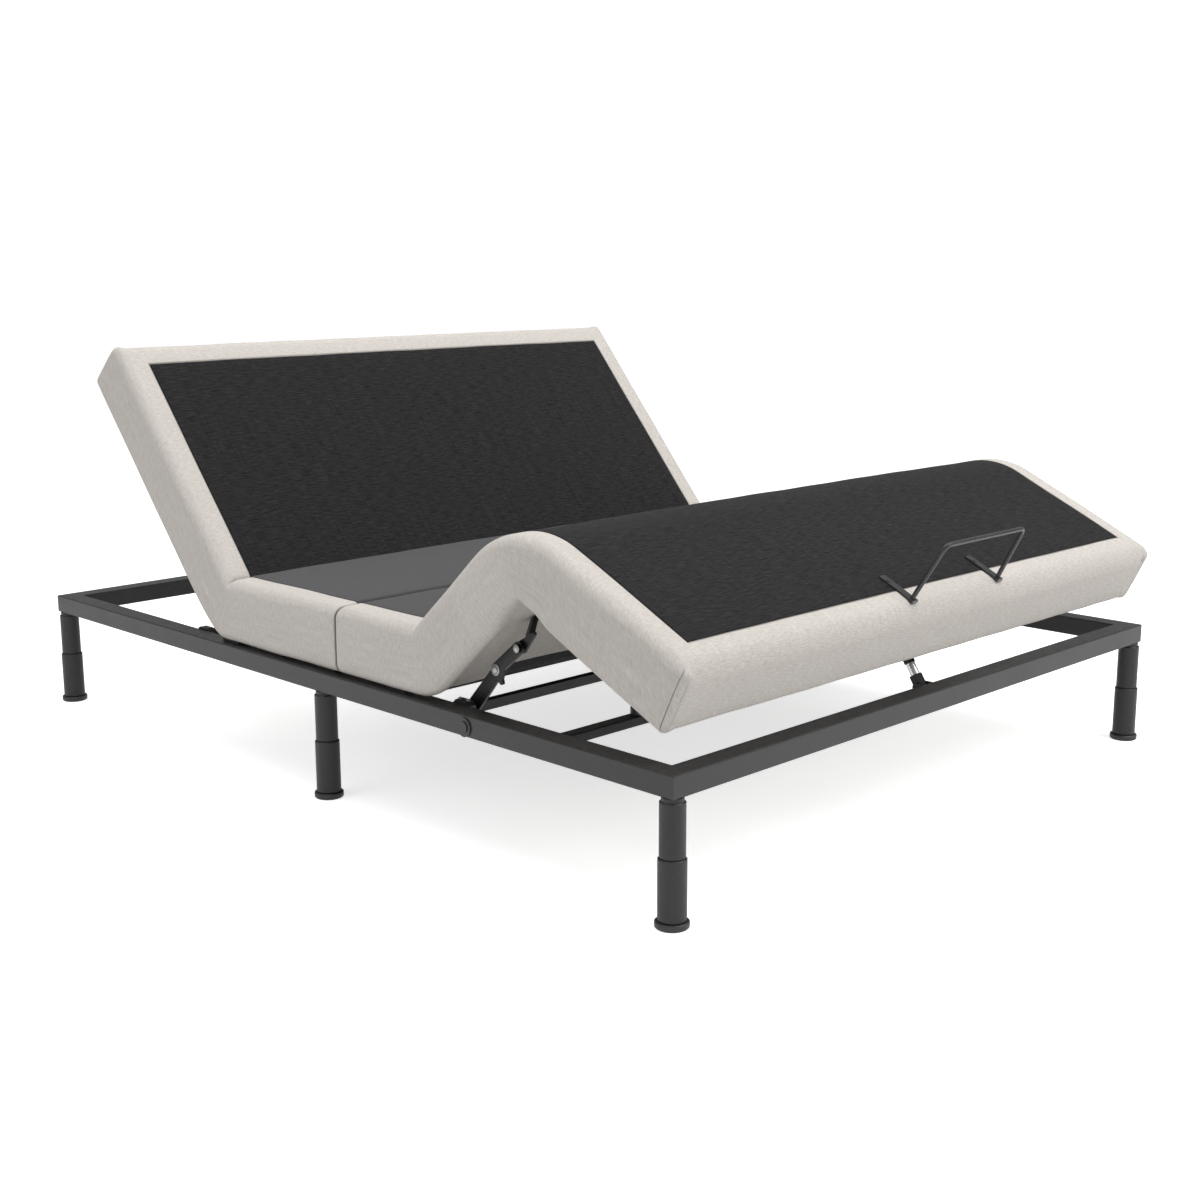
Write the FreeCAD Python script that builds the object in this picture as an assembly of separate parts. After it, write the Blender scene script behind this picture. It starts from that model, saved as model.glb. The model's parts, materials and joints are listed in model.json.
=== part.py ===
"""Adjustable bed base: steel ring frame on six legs, an upholstered four-section deck and two lift linkages.

Millimetres. +X runs across the bed, +Y towards the head, +Z up. The floor is z = 0 and the origin is the
middle of the footprint. Deck sections are drawn flat and then turned about their hinges to the raised rest pose.
"""
import FreeCAD
import Part
import math
import os

# ---- overall sizes -------------------------------------------------------------------------------------------
FRAME_LENGTH = 2020.0
FRAME_WIDTH = 1524.0
LEG_HEIGHT = 220.0
RAIL_WIDTH = 45.0
RAIL_HEIGHT = 40.0
TUBE_WALL = 2.0
TUBE_EDGE = 2.5             # outer corner radius of the box tubes

# ---- deck ----------------------------------------------------------------------------------------------------
DECK_INSET = 9.0            # deck edge inside the rail's outer face
DECK_GAP = 13.0             # rail top to deck underside, the height of the spacers
DECK_THICKNESS = 124.0
BOARD_THICKNESS = 15.0
BOARD_INSET = 25.0
BOARD_END_GAP = 20.0
SOFT_GAP = 0.4              # each cushion face stays this far from the bend plane
SEAM_Y = -111.0             # joint between the two seat cushions
HEAD_END_INSET = 14.0       # flat deck's head end, inside the frame's end
FOOT_OVERHANG = 14.0        # flat deck's foot end, past the frame's end

# ---- deck hinges, given with the deck flat -------------------------------------------------------------------
HEAD_PIVOT_Y = 318.5
HEAD_PIVOT_DEPTH = 112.0    # below the deck top
HEAD_ANGLE = 49.5
THIGH_PIVOT_Y = -352.5
THIGH_PIVOT_DEPTH = 10.0
THIGH_ANGLE = 41.9
KNEE_PIVOT_Y = -635.2
KNEE_PIVOT_DEPTH = 112.0
FOOT_END_CLEARANCE = 61.1   # raised foot section's lower end above the rail tops, which sets the knee's angle
GUSSET_THICKNESS = 2.5

HINGE_INSET = 128.0         # hinge centre inside the board's edge
HINGE_SLOT_HALF = 14.0
HINGE_REACH = 100.0
KNUCKLE_RADIUS = 8.5
PIN_RADIUS = 4.0
RUNNING_GAP = 0.08
LEAF_THICKNESS = 4.0
LEAF_PITCH = 8.0            # centre of the inner leaf to the centre of each outer leaf
LEAF_WIDTH = 20.0

# ---- legs ----------------------------------------------------------------------------------------------------
LEG_INSET = 18.0
MID_LEG_Y = -60.0
LEG_UPPER_RADIUS = 22.0
LEG_LOWER_RADIUS = 24.3
LEG_COLLAR_RADIUS = 19.0
LEG_COLLAR_HEIGHT = 7.0
LEG_SEAM_Z = 118.0
LEG_EDGE = 2.0
GLIDE_RADIUS = 29.0
GLIDE_HEIGHT = 12.0
SPIGOT_RADIUS = 12.0
SPIGOT_LENGTH = 20.0
STUD_RADIUS = 5.0
STUD_LENGTH = 52.0
STUD_CLEARANCE = 0.5
NUT_RADIUS = 9.0
NUT_HEIGHT = 8.0

# ---- cross members -------------------------------------------------------------------------------------------
SEAT_BEAM_Y = -222.0
SEAT_BEAM_WIDTH = 25.0
FOOT_BEAM_Y = -719.0
FOOT_BEAM_WIDTH = 26.0
FOOT_BEAM_HEIGHT = 18.0
ACTUATOR_BEAM_Y = 80.0
ACTUATOR_BEAM_WIDTH = 40.0
HINGE_BEAM_WIDTH = 40.0
HINGE_BEAM_HEIGHT = 25.0
HINGE_BEAM_DROP = 5.0       # its top lies below the rail tops
SPACER_LENGTH = 60.0
SPACER_WIDTH = 24.0
SPACER_RAIL_Y = (-280.0, -60.0, 120.0, 280.0)
SPACER_BEAM_X = 350.0
BUMPER_X = 540.0
BUMPER_GAP = 0.4
CAP_Y = -505.0
CAP_RADIUS = 18.0
CAP_THICKNESS = 2.5
CAP_BUTTON_RADIUS = 11.0
HEADBOARD_BOLT_X = 640.0    # bolt holes for a headboard bracket in the head rail's outer wall
HEADBOARD_HOLE_RADIUS = 5.25

# ---- foot lift linkage ---------------------------------------------------------------------------------------
FOOT_SHAFT_Y = -442.0
FOOT_SHAFT_Z = 247.0
FOOT_SHAFT_SIDE = 18.0
ELBOW_Y = -517.0
ELBOW_Z = 333.0
LINK_TOP_Y = -578.0
LINK_TOP_Z = 383.0
LINK_RAIL_GAP = 27.0        # lift arm's outer face to the side rail
PLATE = 6.0
PLATE_GAP = 0.8
ARM_ROOT_RADIUS = 15.0
ARM_TIP_RADIUS = 12.0
LINK_TAIL = 26.0            # pointed end below the elbow bolt
LINK_TAIL_TURN = 85.0
LINK_PIN_RADIUS = 6.0
ELBOW_HEAD_RADIUS = 11.0
LINK_HEAD_RADIUS = 8.0
BOLT_HEAD = 5.0
AXLE_RADIUS = 10.0
BLOCK_LENGTH = 44.0
BLOCK_WIDTH = 18.0
BLOCK_HEIGHT = 38.0
BLOCK_EDGE = 8.0
BLOCK_BOLT_RADIUS = 5.0
BRACKET_REACH = 64.0        # from the lift arm's outer face inward along the thigh board
BRACKET_WIDTH = 15.0
BRACKET_FOOT = 26.0
BRACKET_WING = 44.0         # pointed ear beside the pin
BRACKET_SHIFT = 32.0        # strap's centre from the pin, along the ear

# ---- head lift -----------------------------------------------------------------------------------------------
HEAD_SHAFT_Y = 430.0
HEAD_SHAFT_Z = 245.0
HEAD_SHAFT_RADIUS = 14.0
HEAD_ARM_X = 450.0
HEAD_ROLLER_RADIUS = 20.0
HEAD_ROLLER_WIDTH = 22.0
HEAD_ROLLER_ALONG = 390.0   # roller's place along the raised head section, from its hinge
RUNNER_THICKNESS = 4.0
RUNNER_WIDTH = 40.0
RUNNER_MARGIN = 30.0
ROLLER_GAP = 1.0

# ---- actuators -----------------------------------------------------------------------------------------------
ACTUATOR_X = 120.0          # foot actuator on this side of the middle, head actuator on the other
ACTUATOR_Z = 205.0
CLEVIS_REACH = 25.0
EYE_RADIUS = 12.0
EYE_THICKNESS = 19.0
EYE_PIN_RADIUS = 5.0
HOUSING_STANDOFF = 15.0    # rear pivot to the housing
HOUSING_LENGTH = 78.0
HOUSING_HALF_WIDTH = 26.0
HOUSING_UP = 22.0
HOUSING_DOWN = 58.0
MOTOR_RADIUS = 20.0
MOTOR_LENGTH = 95.0
MOTOR_DROP = 36.0
OUTER_TUBE_RADIUS = 15.0
ROD_RADIUS = 9.0
ROD_GAP = 0.3
ROD_FREE = 5.0
EYE_TO_TUBE = 11.0
HEAD_CRANK_LENGTH = 90.0
HEAD_CRANK_ANGLE = -60.0
FOOT_CRANK_LENGTH = 80.0
FOOT_CRANK_ANGLE = -146.0
CRANK_GAP = 0.6

# ---- foot support arm ----------------------------------------------------------------------------------------
SUPPORT_RAIL_GAP = 15.0     # pivot to the foot rail's inner face
SUPPORT_PIVOT_Z = 252.0
SUPPORT_LENGTH = 119.0
SUPPORT_WIDTH = 20.0
SUPPORT_DEPTH = 16.0
SUPPORT_BLOCK = 24.0
SLEEVE_RADIUS = 9.0
SLEEVE_LENGTH = 24.0
SUPPORT_ROLLER_RADIUS = 8.0
SUPPORT_RUNNER = 2.0

# ---- mattress retainer bar -----------------------------------------------------------------------------------
RETAINER_CENTRE_X = 18.0
RETAINER_FOOT_HALF = 142.0
RETAINER_TOP_HALF = 130.0
RETAINER_HEIGHT = 124.0
RETAINER_LEAN = 9.0
RETAINER_FROM_END = 27.0
RETAINER_ROD_RADIUS = 4.5
RETAINER_BEND = 14.0
TAB_LENGTH = 84.0
TAB_WIDTH = 17.0
TAB_THICKNESS = 6.0
TAB_FROM_END = 19.0
TAB_BOLT_RADIUS = 5.0
TAB_BOLT_HEIGHT = 1.0

# ---- control box ---------------------------------------------------------------------------------------------
CONTROL_X = 330.0
CONTROL_LENGTH = 170.0
CONTROL_WIDTH = 110.0
CONTROL_HEIGHT = 38.0
CONTROL_FLANGE = 4.0
INLET_WIDTH = 26.0
INLET_HEIGHT = 18.0
INLET_DEPTH = 14.0

# ---- worked out from the sizes above -------------------------------------------------------------------------
HALF_LENGTH = FRAME_LENGTH / 2
HALF_WIDTH = FRAME_WIDTH / 2
FRAME_TOP = LEG_HEIGHT + RAIL_HEIGHT
RAIL_INNER_X = HALF_WIDTH - RAIL_WIDTH
RAIL_INNER_Y = HALF_LENGTH - RAIL_WIDTH
RAIL_CENTRE_X = HALF_WIDTH - RAIL_WIDTH / 2
DECK_BOTTOM = FRAME_TOP + DECK_GAP
DECK_TOP = DECK_BOTTOM + DECK_THICKNESS
DECK_HALF = HALF_WIDTH - DECK_INSET
BOARD_HALF = DECK_HALF - BOARD_INSET
HEAD_PIVOT = (HEAD_PIVOT_Y, DECK_TOP - HEAD_PIVOT_DEPTH)
THIGH_PIVOT = (THIGH_PIVOT_Y, DECK_TOP - THIGH_PIVOT_DEPTH)
KNEE_PIVOT = (KNEE_PIVOT_Y, DECK_TOP - KNEE_PIVOT_DEPTH)
HINGE_BEAM_TOP = FRAME_TOP - HINGE_BEAM_DROP
HEAD_END_Y = HALF_LENGTH - HEAD_END_INSET
FOOT_END_Y = -HALF_LENGTH - FOOT_OVERHANG
HINGE_X = BOARD_HALF - HINGE_INSET
LINK_X = RAIL_INNER_X - LINK_RAIL_GAP
BRACKET_FOOT_X = LINK_X - BRACKET_REACH
SUPPORT_PIVOT_Y = -RAIL_INNER_Y + SUPPORT_RAIL_GAP


def turn_point(point, pivot, degrees):
    """Turn a (y, z) point about a pivot; positive turns +Y towards +Z."""
    angle = math.radians(degrees)
    dy = point[0] - pivot[0]
    dz = point[1] - pivot[1]
    return (pivot[0] + dy * math.cos(angle) - dz * math.sin(angle),
            pivot[1] + dy * math.sin(angle) + dz * math.cos(angle))


def polar(centre, radius, degrees):
    """Point at a radius and angle from a centre in the side view, angles from +Y towards +Z."""
    angle = math.radians(degrees)
    return (centre[0] + radius * math.cos(angle), centre[1] + radius * math.sin(angle))


def direction(start, end):
    """Angle in degrees from +Y towards +Z of the line from start to end."""
    return math.degrees(math.atan2(end[1] - start[1], end[0] - start[0]))


def knee_turn():
    """Angle between the thigh and foot sections that leaves the foot section's lower end at its clearance."""
    reach = KNEE_PIVOT[0] - FOOT_END_Y
    depth = KNEE_PIVOT[1] - DECK_BOTTOM
    drop = KNEE_RAISED[1] - FRAME_TOP - FOOT_END_CLEARANCE
    slope = math.asin(drop / math.hypot(reach, depth)) - math.atan2(depth, reach)
    return THIGH_ANGLE + math.degrees(slope)


def raised_foot_point(point):
    """Where a point of the flat foot section lies in the raised rest pose."""
    return turn_point(turn_point(point, KNEE_PIVOT, KNEE_ANGLE), THIGH_PIVOT, -THIGH_ANGLE)


KNEE_RAISED = turn_point(KNEE_PIVOT, THIGH_PIVOT, -THIGH_ANGLE)
KNEE_ANGLE = knee_turn()
RETAINER_TOP = raised_foot_point((FOOT_END_Y + RETAINER_FROM_END - RETAINER_LEAN, DECK_TOP + RETAINER_HEIGHT))
FOOT_REACH = RETAINER_ROD_RADIUS - RETAINER_TOP[0]
HEAD_REACH = HALF_LENGTH - LEG_INSET + GLIDE_RADIUS
ORIGIN_SHIFT = (FOOT_REACH - HEAD_REACH) / 2

# ---- joint travel, worked out from the linkage ---------------------------------------------------------------
FOOT_SHAFT = (FOOT_SHAFT_Y, FOOT_SHAFT_Z)
HEAD_SHAFT = (HEAD_SHAFT_Y, HEAD_SHAFT_Z)
ELBOW = (ELBOW_Y, ELBOW_Z)
LINK_TOP = (LINK_TOP_Y, LINK_TOP_Z)
SUPPORT_PIVOT = (SUPPORT_PIVOT_Y, SUPPORT_PIVOT_Z)


def lift_arm_travel():
    """Turn of the lift arm from raised to flat, and turn of the link on the thigh section."""
    arm = math.dist(FOOT_SHAFT, ELBOW)
    link = math.dist(ELBOW, LINK_TOP)
    flat_top = turn_point(LINK_TOP, THIGH_PIVOT, THIGH_ANGLE)
    span = math.dist(FOOT_SHAFT, flat_top)
    inside = math.degrees(math.acos((arm ** 2 + span ** 2 - link ** 2) / (2 * arm * span)))
    flat_angle = direction(FOOT_SHAFT, flat_top) % 360 + inside
    flat_elbow = polar(FOOT_SHAFT, arm, flat_angle)
    link_turn = direction(flat_top, flat_elbow) - direction(LINK_TOP, ELBOW)
    return flat_angle - direction(FOOT_SHAFT, ELBOW), link_turn - THIGH_ANGLE


HEAD_ROLLER_DEPTH = (DECK_THICKNESS - HEAD_PIVOT_DEPTH) + RUNNER_THICKNESS + ROLLER_GAP + HEAD_ROLLER_RADIUS


def head_roller_raised():
    """Centre of the head roller under the raised head section."""
    return turn_point((HEAD_PIVOT[0] + HEAD_ROLLER_ALONG, HEAD_PIVOT[1] - HEAD_ROLLER_DEPTH), HEAD_PIVOT, HEAD_ANGLE)


HEAD_ROLLER = head_roller_raised()
HEAD_ARM_LENGTH = math.dist(HEAD_SHAFT, HEAD_ROLLER)
HEAD_ARM_ANGLE = direction(HEAD_SHAFT, HEAD_ROLLER)
HEAD_ARM_FLAT = math.degrees(math.asin((HEAD_PIVOT[1] - HEAD_ROLLER_DEPTH - HEAD_SHAFT_Z) / HEAD_ARM_LENGTH))
HEAD_ARM_TRAVEL = HEAD_ARM_FLAT - HEAD_ARM_ANGLE
FOOT_ARM_TRAVEL, LINK_TRAVEL = lift_arm_travel()

HEAD_REAR = (ACTUATOR_BEAM_Y + ACTUATOR_BEAM_WIDTH / 2 + CLEVIS_REACH, ACTUATOR_Z)
FOOT_REAR = (ACTUATOR_BEAM_Y - ACTUATOR_BEAM_WIDTH / 2 - CLEVIS_REACH, ACTUATOR_Z)
HEAD_CRANK_TIP = polar(HEAD_SHAFT, HEAD_CRANK_LENGTH, HEAD_CRANK_ANGLE)
HEAD_CRANK_FLAT = polar(HEAD_SHAFT, HEAD_CRANK_LENGTH, HEAD_CRANK_ANGLE + HEAD_ARM_TRAVEL)
FOOT_CRANK_TIP = polar(FOOT_SHAFT, FOOT_CRANK_LENGTH, FOOT_CRANK_ANGLE)
FOOT_CRANK_FLAT = polar(FOOT_SHAFT, FOOT_CRANK_LENGTH, FOOT_CRANK_ANGLE + FOOT_ARM_TRAVEL)

SUPPORT_ROLLER_DEPTH = (DECK_THICKNESS - KNEE_PIVOT_DEPTH) + SUPPORT_RUNNER + ROLLER_GAP + SUPPORT_ROLLER_RADIUS


def support_angle(knee, slope):
    """Angle of the support arm whose roller touches the foot section, for a knee point and the section's slope."""
    reach_y = SUPPORT_PIVOT[0] - knee[0]
    reach_z = SUPPORT_PIVOT[1] - knee[1]
    below = reach_y * math.sin(math.radians(slope)) - reach_z * math.cos(math.radians(slope))
    return slope + math.degrees(math.asin((below - SUPPORT_ROLLER_DEPTH) / SUPPORT_LENGTH))


SUPPORT_RAISED = support_angle(KNEE_RAISED, KNEE_ANGLE - THIGH_ANGLE)
SUPPORT_FLAT = support_angle(KNEE_PIVOT, 0.0)
SUPPORT_ROLLER = polar(SUPPORT_PIVOT, SUPPORT_LENGTH, SUPPORT_RAISED)


# ---- shape helpers -------------------------------------------------------------------------------------------
def vec(x, y, z):
    """Shorthand for a vector."""
    return FreeCAD.Vector(x, y, z)


def block(x_range, y_range, z_range):
    """Box between pairs of coordinates."""
    return Part.makeBox(x_range[1] - x_range[0], y_range[1] - y_range[0], z_range[1] - z_range[0],
                        vec(x_range[0], y_range[0], z_range[0]))


def slab_x(outline, x_start, x_end):
    """Straight-sided outline of (y, z) points carried along X."""
    wire = Part.makePolygon([vec(x_start, y, z) for y, z in outline + outline[:1]])
    return Part.Face(wire).extrude(vec(x_end - x_start, 0, 0))


def slab_z(outline, z_start, z_end):
    """Straight-sided outline of (x, y) points carried along Z."""
    wire = Part.makePolygon([vec(x, y, z_start) for x, y in outline + outline[:1]])
    return Part.Face(wire).extrude(vec(0, 0, z_end - z_start))


def rod_x(centre, radius, x_start, x_end):
    """Cylinder along X at a (y, z) centre."""
    return Part.makeCylinder(radius, x_end - x_start, vec(x_start, centre[0], centre[1]), vec(1, 0, 0))


def rod_z(x, y, radius, z_start, z_end):
    """Upright cylinder."""
    return Part.makeCylinder(radius, z_end - z_start, vec(x, y, z_start), vec(0, 0, 1))


def turn(shape, pivot, degrees):
    """Copy of a shape turned about the X direction through a (y, z) pivot."""
    turned = shape.copy()
    turned.rotate(vec(0, pivot[0], pivot[1]), vec(1, 0, 0), degrees)
    return turned


def mirror(shape):
    """Copy on the other side of the bed."""
    return shape.mirror(vec(0, 0, 0), vec(1, 0, 0))


def pair(shape):
    """The shape and its mirror copy."""
    return [shape, mirror(shape)]


def bar_between(start, end, start_radius, end_radius, x_start, x_end):
    """Flat bar with round ends, from one (y, z) point to another, as two discs and the tangent piece between."""
    span = math.dist(start, end)
    lean = math.degrees(math.asin((start_radius - end_radius) / span))
    along = direction(start, end)
    outline = [polar(start, start_radius, along + 90 - lean), polar(end, end_radius, along + 90 - lean),
               polar(end, end_radius, along - 90 + lean), polar(start, start_radius, along - 90 + lean)]
    bar = slab_x(outline, x_start, x_end)
    bar = bar.fuse([rod_x(start, start_radius, x_start, x_end), rod_x(end, end_radius, x_start, x_end)])
    return bar.removeSplitter()


def raise_head(shape):
    """Turn a flat head-section shape to the rest pose."""
    return turn(shape, HEAD_PIVOT, HEAD_ANGLE)


def raise_thigh(shape):
    """Turn a flat thigh-section shape to the rest pose."""
    return turn(shape, THIGH_PIVOT, -THIGH_ANGLE)


def raise_foot(shape):
    """Turn a flat foot-section shape to the rest pose."""
    return raise_thigh(turn(shape, KNEE_PIVOT, KNEE_ANGLE))


def export(node, *shapes):
    """Write one node, moved so that the footprint's middle is the origin."""
    solids = []
    for shape in shapes:
        solids.extend(shape.Solids)
    placed = solids[0].copy() if len(solids) == 1 else Part.makeCompound(solids)
    placed.translate(vec(0, ORIGIN_SHIFT, 0))
    placed.exportStep(os.path.join("parts", node + ".step"))


# ---- frame ---------------------------------------------------------------------------------------------------
def leg_places():
    """Centres (x, y) of the six legs."""
    x = HALF_WIDTH - LEG_INSET
    y = HALF_LENGTH - LEG_INSET
    return [(side * x, place) for side in (-1, 1) for place in (y, MID_LEG_Y, -y)]


def mitred_rail(outer_half_length, inner_half_length):
    """Box tube along Y on the left side, with mitred open ends."""
    half = RAIL_WIDTH / 2
    outer = [(-half, -outer_half_length), (-half, outer_half_length),
             (half, inner_half_length), (half, -inner_half_length)]
    cut = TUBE_WALL
    inner = [(-half + cut, -outer_half_length + cut), (-half + cut, outer_half_length - cut),
             (half - cut, inner_half_length + cut), (half - cut, -inner_half_length - cut)]
    tube = slab_z(outer, LEG_HEIGHT, FRAME_TOP)
    long_edges = [edge for edge in tube.Edges if edge.Length > RAIL_INNER_X]
    tube = tube.makeFillet(TUBE_EDGE, long_edges)
    return tube.cut(slab_z(inner, LEG_HEIGHT + cut, FRAME_TOP - cut))


def leg_holes():
    """Clearance holes for the leg studs, through the bottom wall of the rails."""
    radius = STUD_RADIUS + STUD_CLEARANCE
    low = LEG_HEIGHT - TUBE_WALL
    high = LEG_HEIGHT + 2 * TUBE_WALL
    return [rod_z(x, y, radius, low, high) for x, y in leg_places()]


def make_rails():
    """Four mitred rails that form the ring frame."""
    side = mitred_rail(HALF_LENGTH, RAIL_INNER_Y)
    side.translate(vec(-RAIL_CENTRE_X, 0, 0))
    end = mitred_rail(HALF_WIDTH, RAIL_INNER_X)
    end.rotate(vec(0, 0, 0), vec(0, 0, 1), -90)
    end.translate(vec(0, HALF_LENGTH - RAIL_WIDTH / 2, 0))
    foot = end.mirror(vec(0, 0, 0), vec(0, 1, 0))
    bolt_hole = Part.makeCylinder(HEADBOARD_HOLE_RADIUS, 2 * TUBE_WALL,
                                  vec(HEADBOARD_BOLT_X, HALF_LENGTH - 1.5 * TUBE_WALL, LEG_HEIGHT + RAIL_HEIGHT / 2),
                                  vec(0, 1, 0))
    end = end.cut(pair(bolt_hole))
    rails = {"side_rail_left": side, "side_rail_right": mirror(side), "head_rail": end, "foot_rail": foot}
    for name, rail in rails.items():
        export(name, rail.cut(leg_holes()))


def cross_tube(y_centre, width, height, top):
    """Box tube across the frame, butted to the side rails."""
    y_range = (y_centre - width / 2, y_centre + width / 2)
    outer = block((-RAIL_INNER_X, RAIL_INNER_X), y_range, (top - height, top))
    outer = outer.makeFillet(TUBE_EDGE, [edge for edge in outer.Edges if edge.Length > RAIL_INNER_X])
    bore = block((-RAIL_INNER_X, RAIL_INNER_X), (y_range[0] + TUBE_WALL, y_range[1] - TUBE_WALL),
                 (top - height + TUBE_WALL, top - TUBE_WALL))
    return outer.cut(bore)


def make_cross_tubes():
    """Cross members that carry the seat, the hinges, the actuators and the lowered foot section."""
    export("seat_beam", cross_tube(SEAT_BEAM_Y, SEAT_BEAM_WIDTH, RAIL_HEIGHT, FRAME_TOP))
    export("actuator_beam", cross_tube(ACTUATOR_BEAM_Y, ACTUATOR_BEAM_WIDTH, RAIL_HEIGHT, FRAME_TOP))
    export("hinge_beam", cross_tube(HEAD_PIVOT_Y, HINGE_BEAM_WIDTH, HINGE_BEAM_HEIGHT, HINGE_BEAM_TOP))
    export("foot_beam", cross_tube(FOOT_BEAM_Y, FOOT_BEAM_WIDTH, FOOT_BEAM_HEIGHT, FRAME_TOP))


def make_spacers():
    """Blocks between frame and seat, and bumpers that the lowered foot section rests on."""
    spacers = []
    half_y = SPACER_LENGTH / 2
    for y in SPACER_RAIL_Y:
        spacers += pair(block((RAIL_INNER_X, RAIL_INNER_X + SPACER_WIDTH), (y - half_y, y + half_y),
                              (FRAME_TOP, DECK_BOTTOM)))
    for y, width in ((SEAT_BEAM_Y, SEAT_BEAM_WIDTH), (ACTUATOR_BEAM_Y, ACTUATOR_BEAM_WIDTH)):
        spacers += pair(block((SPACER_BEAM_X - half_y, SPACER_BEAM_X + half_y), (y - width / 2, y + width / 2),
                              (FRAME_TOP, DECK_BOTTOM)))
    export("seat_spacers", *spacers)
    bumper = rod_z(BUMPER_X, FOOT_BEAM_Y, FOOT_BEAM_WIDTH / 2, FRAME_TOP, DECK_BOTTOM - BUMPER_GAP)
    export("rest_bumpers", *pair(bumper))


def make_rail_caps():
    """Round caps over the rail's outer access holes."""
    centre = (CAP_Y, LEG_HEIGHT + RAIL_HEIGHT / 2 - TUBE_WALL)
    outer_x = HALF_WIDTH + CAP_THICKNESS
    cap = rod_x(centre, CAP_RADIUS, HALF_WIDTH, outer_x)
    cap = cap.fuse(rod_x(centre, CAP_BUTTON_RADIUS, outer_x, outer_x + TUBE_WALL))
    export("rail_caps", *pair(cap))


# ---- legs ----------------------------------------------------------------------------------------------------
def edged_rod(radius, z_start, z_end):
    """Upright cylinder on the origin's axis with its rims eased."""
    rod = rod_z(0, 0, radius, z_start, z_end)
    rims = [edge for edge in rod.Edges if edge.Closed and len(edge.Vertexes) == 1]
    return rod.makeChamfer(LEG_EDGE, rims)


def leg_shapes():
    """Upper section, lower section, glide, stud and nut of one leg, on the origin's axis."""
    collar_z = LEG_HEIGHT - LEG_COLLAR_HEIGHT
    stud_low = LEG_HEIGHT - STUD_LENGTH / 2
    stud_high = LEG_HEIGHT + STUD_LENGTH / 2
    stud = rod_z(0, 0, STUD_RADIUS, stud_low, stud_high)
    upper = edged_rod(LEG_UPPER_RADIUS, LEG_SEAM_Z, collar_z)
    upper = upper.fuse([rod_z(0, 0, LEG_COLLAR_RADIUS, collar_z, LEG_HEIGHT),
                        rod_z(0, 0, SPIGOT_RADIUS, LEG_SEAM_Z - SPIGOT_LENGTH, LEG_SEAM_Z)]).cut(stud)
    lower = edged_rod(LEG_LOWER_RADIUS, GLIDE_HEIGHT, LEG_SEAM_Z)
    lower = lower.cut(rod_z(0, 0, SPIGOT_RADIUS + RUNNING_GAP, LEG_SEAM_Z - SPIGOT_LENGTH - LEG_EDGE, LEG_SEAM_Z))
    lower = lower.cut(rod_z(0, 0, SPIGOT_RADIUS + RUNNING_GAP, GLIDE_HEIGHT, GLIDE_HEIGHT + SPIGOT_LENGTH + LEG_EDGE))
    glide = edged_rod(GLIDE_RADIUS, 0, GLIDE_HEIGHT)
    glide = glide.fuse(rod_z(0, 0, SPIGOT_RADIUS, GLIDE_HEIGHT, GLIDE_HEIGHT + SPIGOT_LENGTH))
    nut_z = LEG_HEIGHT + TUBE_WALL
    nut = rod_z(0, 0, NUT_RADIUS, nut_z, nut_z + NUT_HEIGHT).cut(stud)
    return upper, lower, glide, stud, nut


def make_legs():
    """Six two-part legs with glides, studs and nuts."""
    upper, lower, glide, stud, nut = leg_shapes()
    kinds = {"leg_upper_sections": (upper,), "leg_lower_sections": (lower,), "leg_glides": (glide,),
             "leg_studs_and_nuts": (stud, nut)}
    for node, shapes in kinds.items():
        placed = []
        for x, y in leg_places():
            for shape in shapes:
                moved = shape.copy()
                moved.translate(vec(x, y, 0))
                placed.append(moved)
        export(node, *placed)


# ---- deck sections -------------------------------------------------------------------------------------------
def bend_edge(pivot, angle, side, above, height):
    """Y of a section's end face at a height, where the face follows half the bend above or below the pivot."""
    rise = height - pivot[1]
    leans = rise > 0 if above else rise < 0
    lean = abs(rise) * math.tan(math.radians(angle / 2)) if leans else 0.0
    return pivot[0] + side * (lean + SOFT_GAP)


def section_outline(low_end, high_end, bottom, top):
    """Side outline of a section between two end faces, each a function of height with its pivot height."""
    low_face, low_break = low_end
    high_face, high_break = high_end
    outline = [(low_face(bottom), bottom), (high_face(bottom), bottom)]
    if high_break and bottom < high_break < top:
        outline.append((high_face(high_break), high_break))
    outline += [(high_face(top), top), (low_face(top), top)]
    if low_break and bottom < low_break < top:
        outline.append((low_face(low_break), low_break))
    return outline


def straight_end(y):
    """End face that is plumb."""
    return (lambda height: y, None)


def bent_end(pivot, angle, side, above=True):
    """End face at a hinge; above tells whether the bend closes above the pivot."""
    return (lambda height: bend_edge(pivot, angle, side, above, height), pivot[1])


def hinge_slots(*pivots):
    """Slots that take the hinge leaves, on both sides of the bed."""
    slots = []
    for pivot in pivots:
        slots += pair(block((HINGE_X - HINGE_SLOT_HALF, HINGE_X + HINGE_SLOT_HALF),
                            (pivot[0] - HINGE_REACH, pivot[0] + HINGE_REACH),
                            (DECK_BOTTOM - 1, pivot[1] + KNUCKLE_RADIUS)))
    return slots


def make_section(name, low_end, high_end, pivots, raise_section):
    """Board and cushion of one deck section; the cushion is exported and the board returned."""
    low_y = low_end[0](DECK_BOTTOM)
    high_y = high_end[0](DECK_BOTTOM)
    board = block((-BOARD_HALF, BOARD_HALF), (low_y + BOARD_END_GAP, high_y - BOARD_END_GAP),
                  (DECK_BOTTOM, DECK_BOTTOM + BOARD_THICKNESS))
    cushion = slab_x(section_outline(low_end, high_end, DECK_BOTTOM, DECK_TOP), -DECK_HALF, DECK_HALF)
    cushion = cushion.cut(board)
    slots = hinge_slots(*pivots)
    if slots:
        board = board.cut(slots)
        cushion = cushion.cut(slots)
    export(name + "_cushion", raise_section(cushion))
    return raise_section(board)


def stay(shape):
    """Fixed sections are drawn in place."""
    return shape


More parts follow.
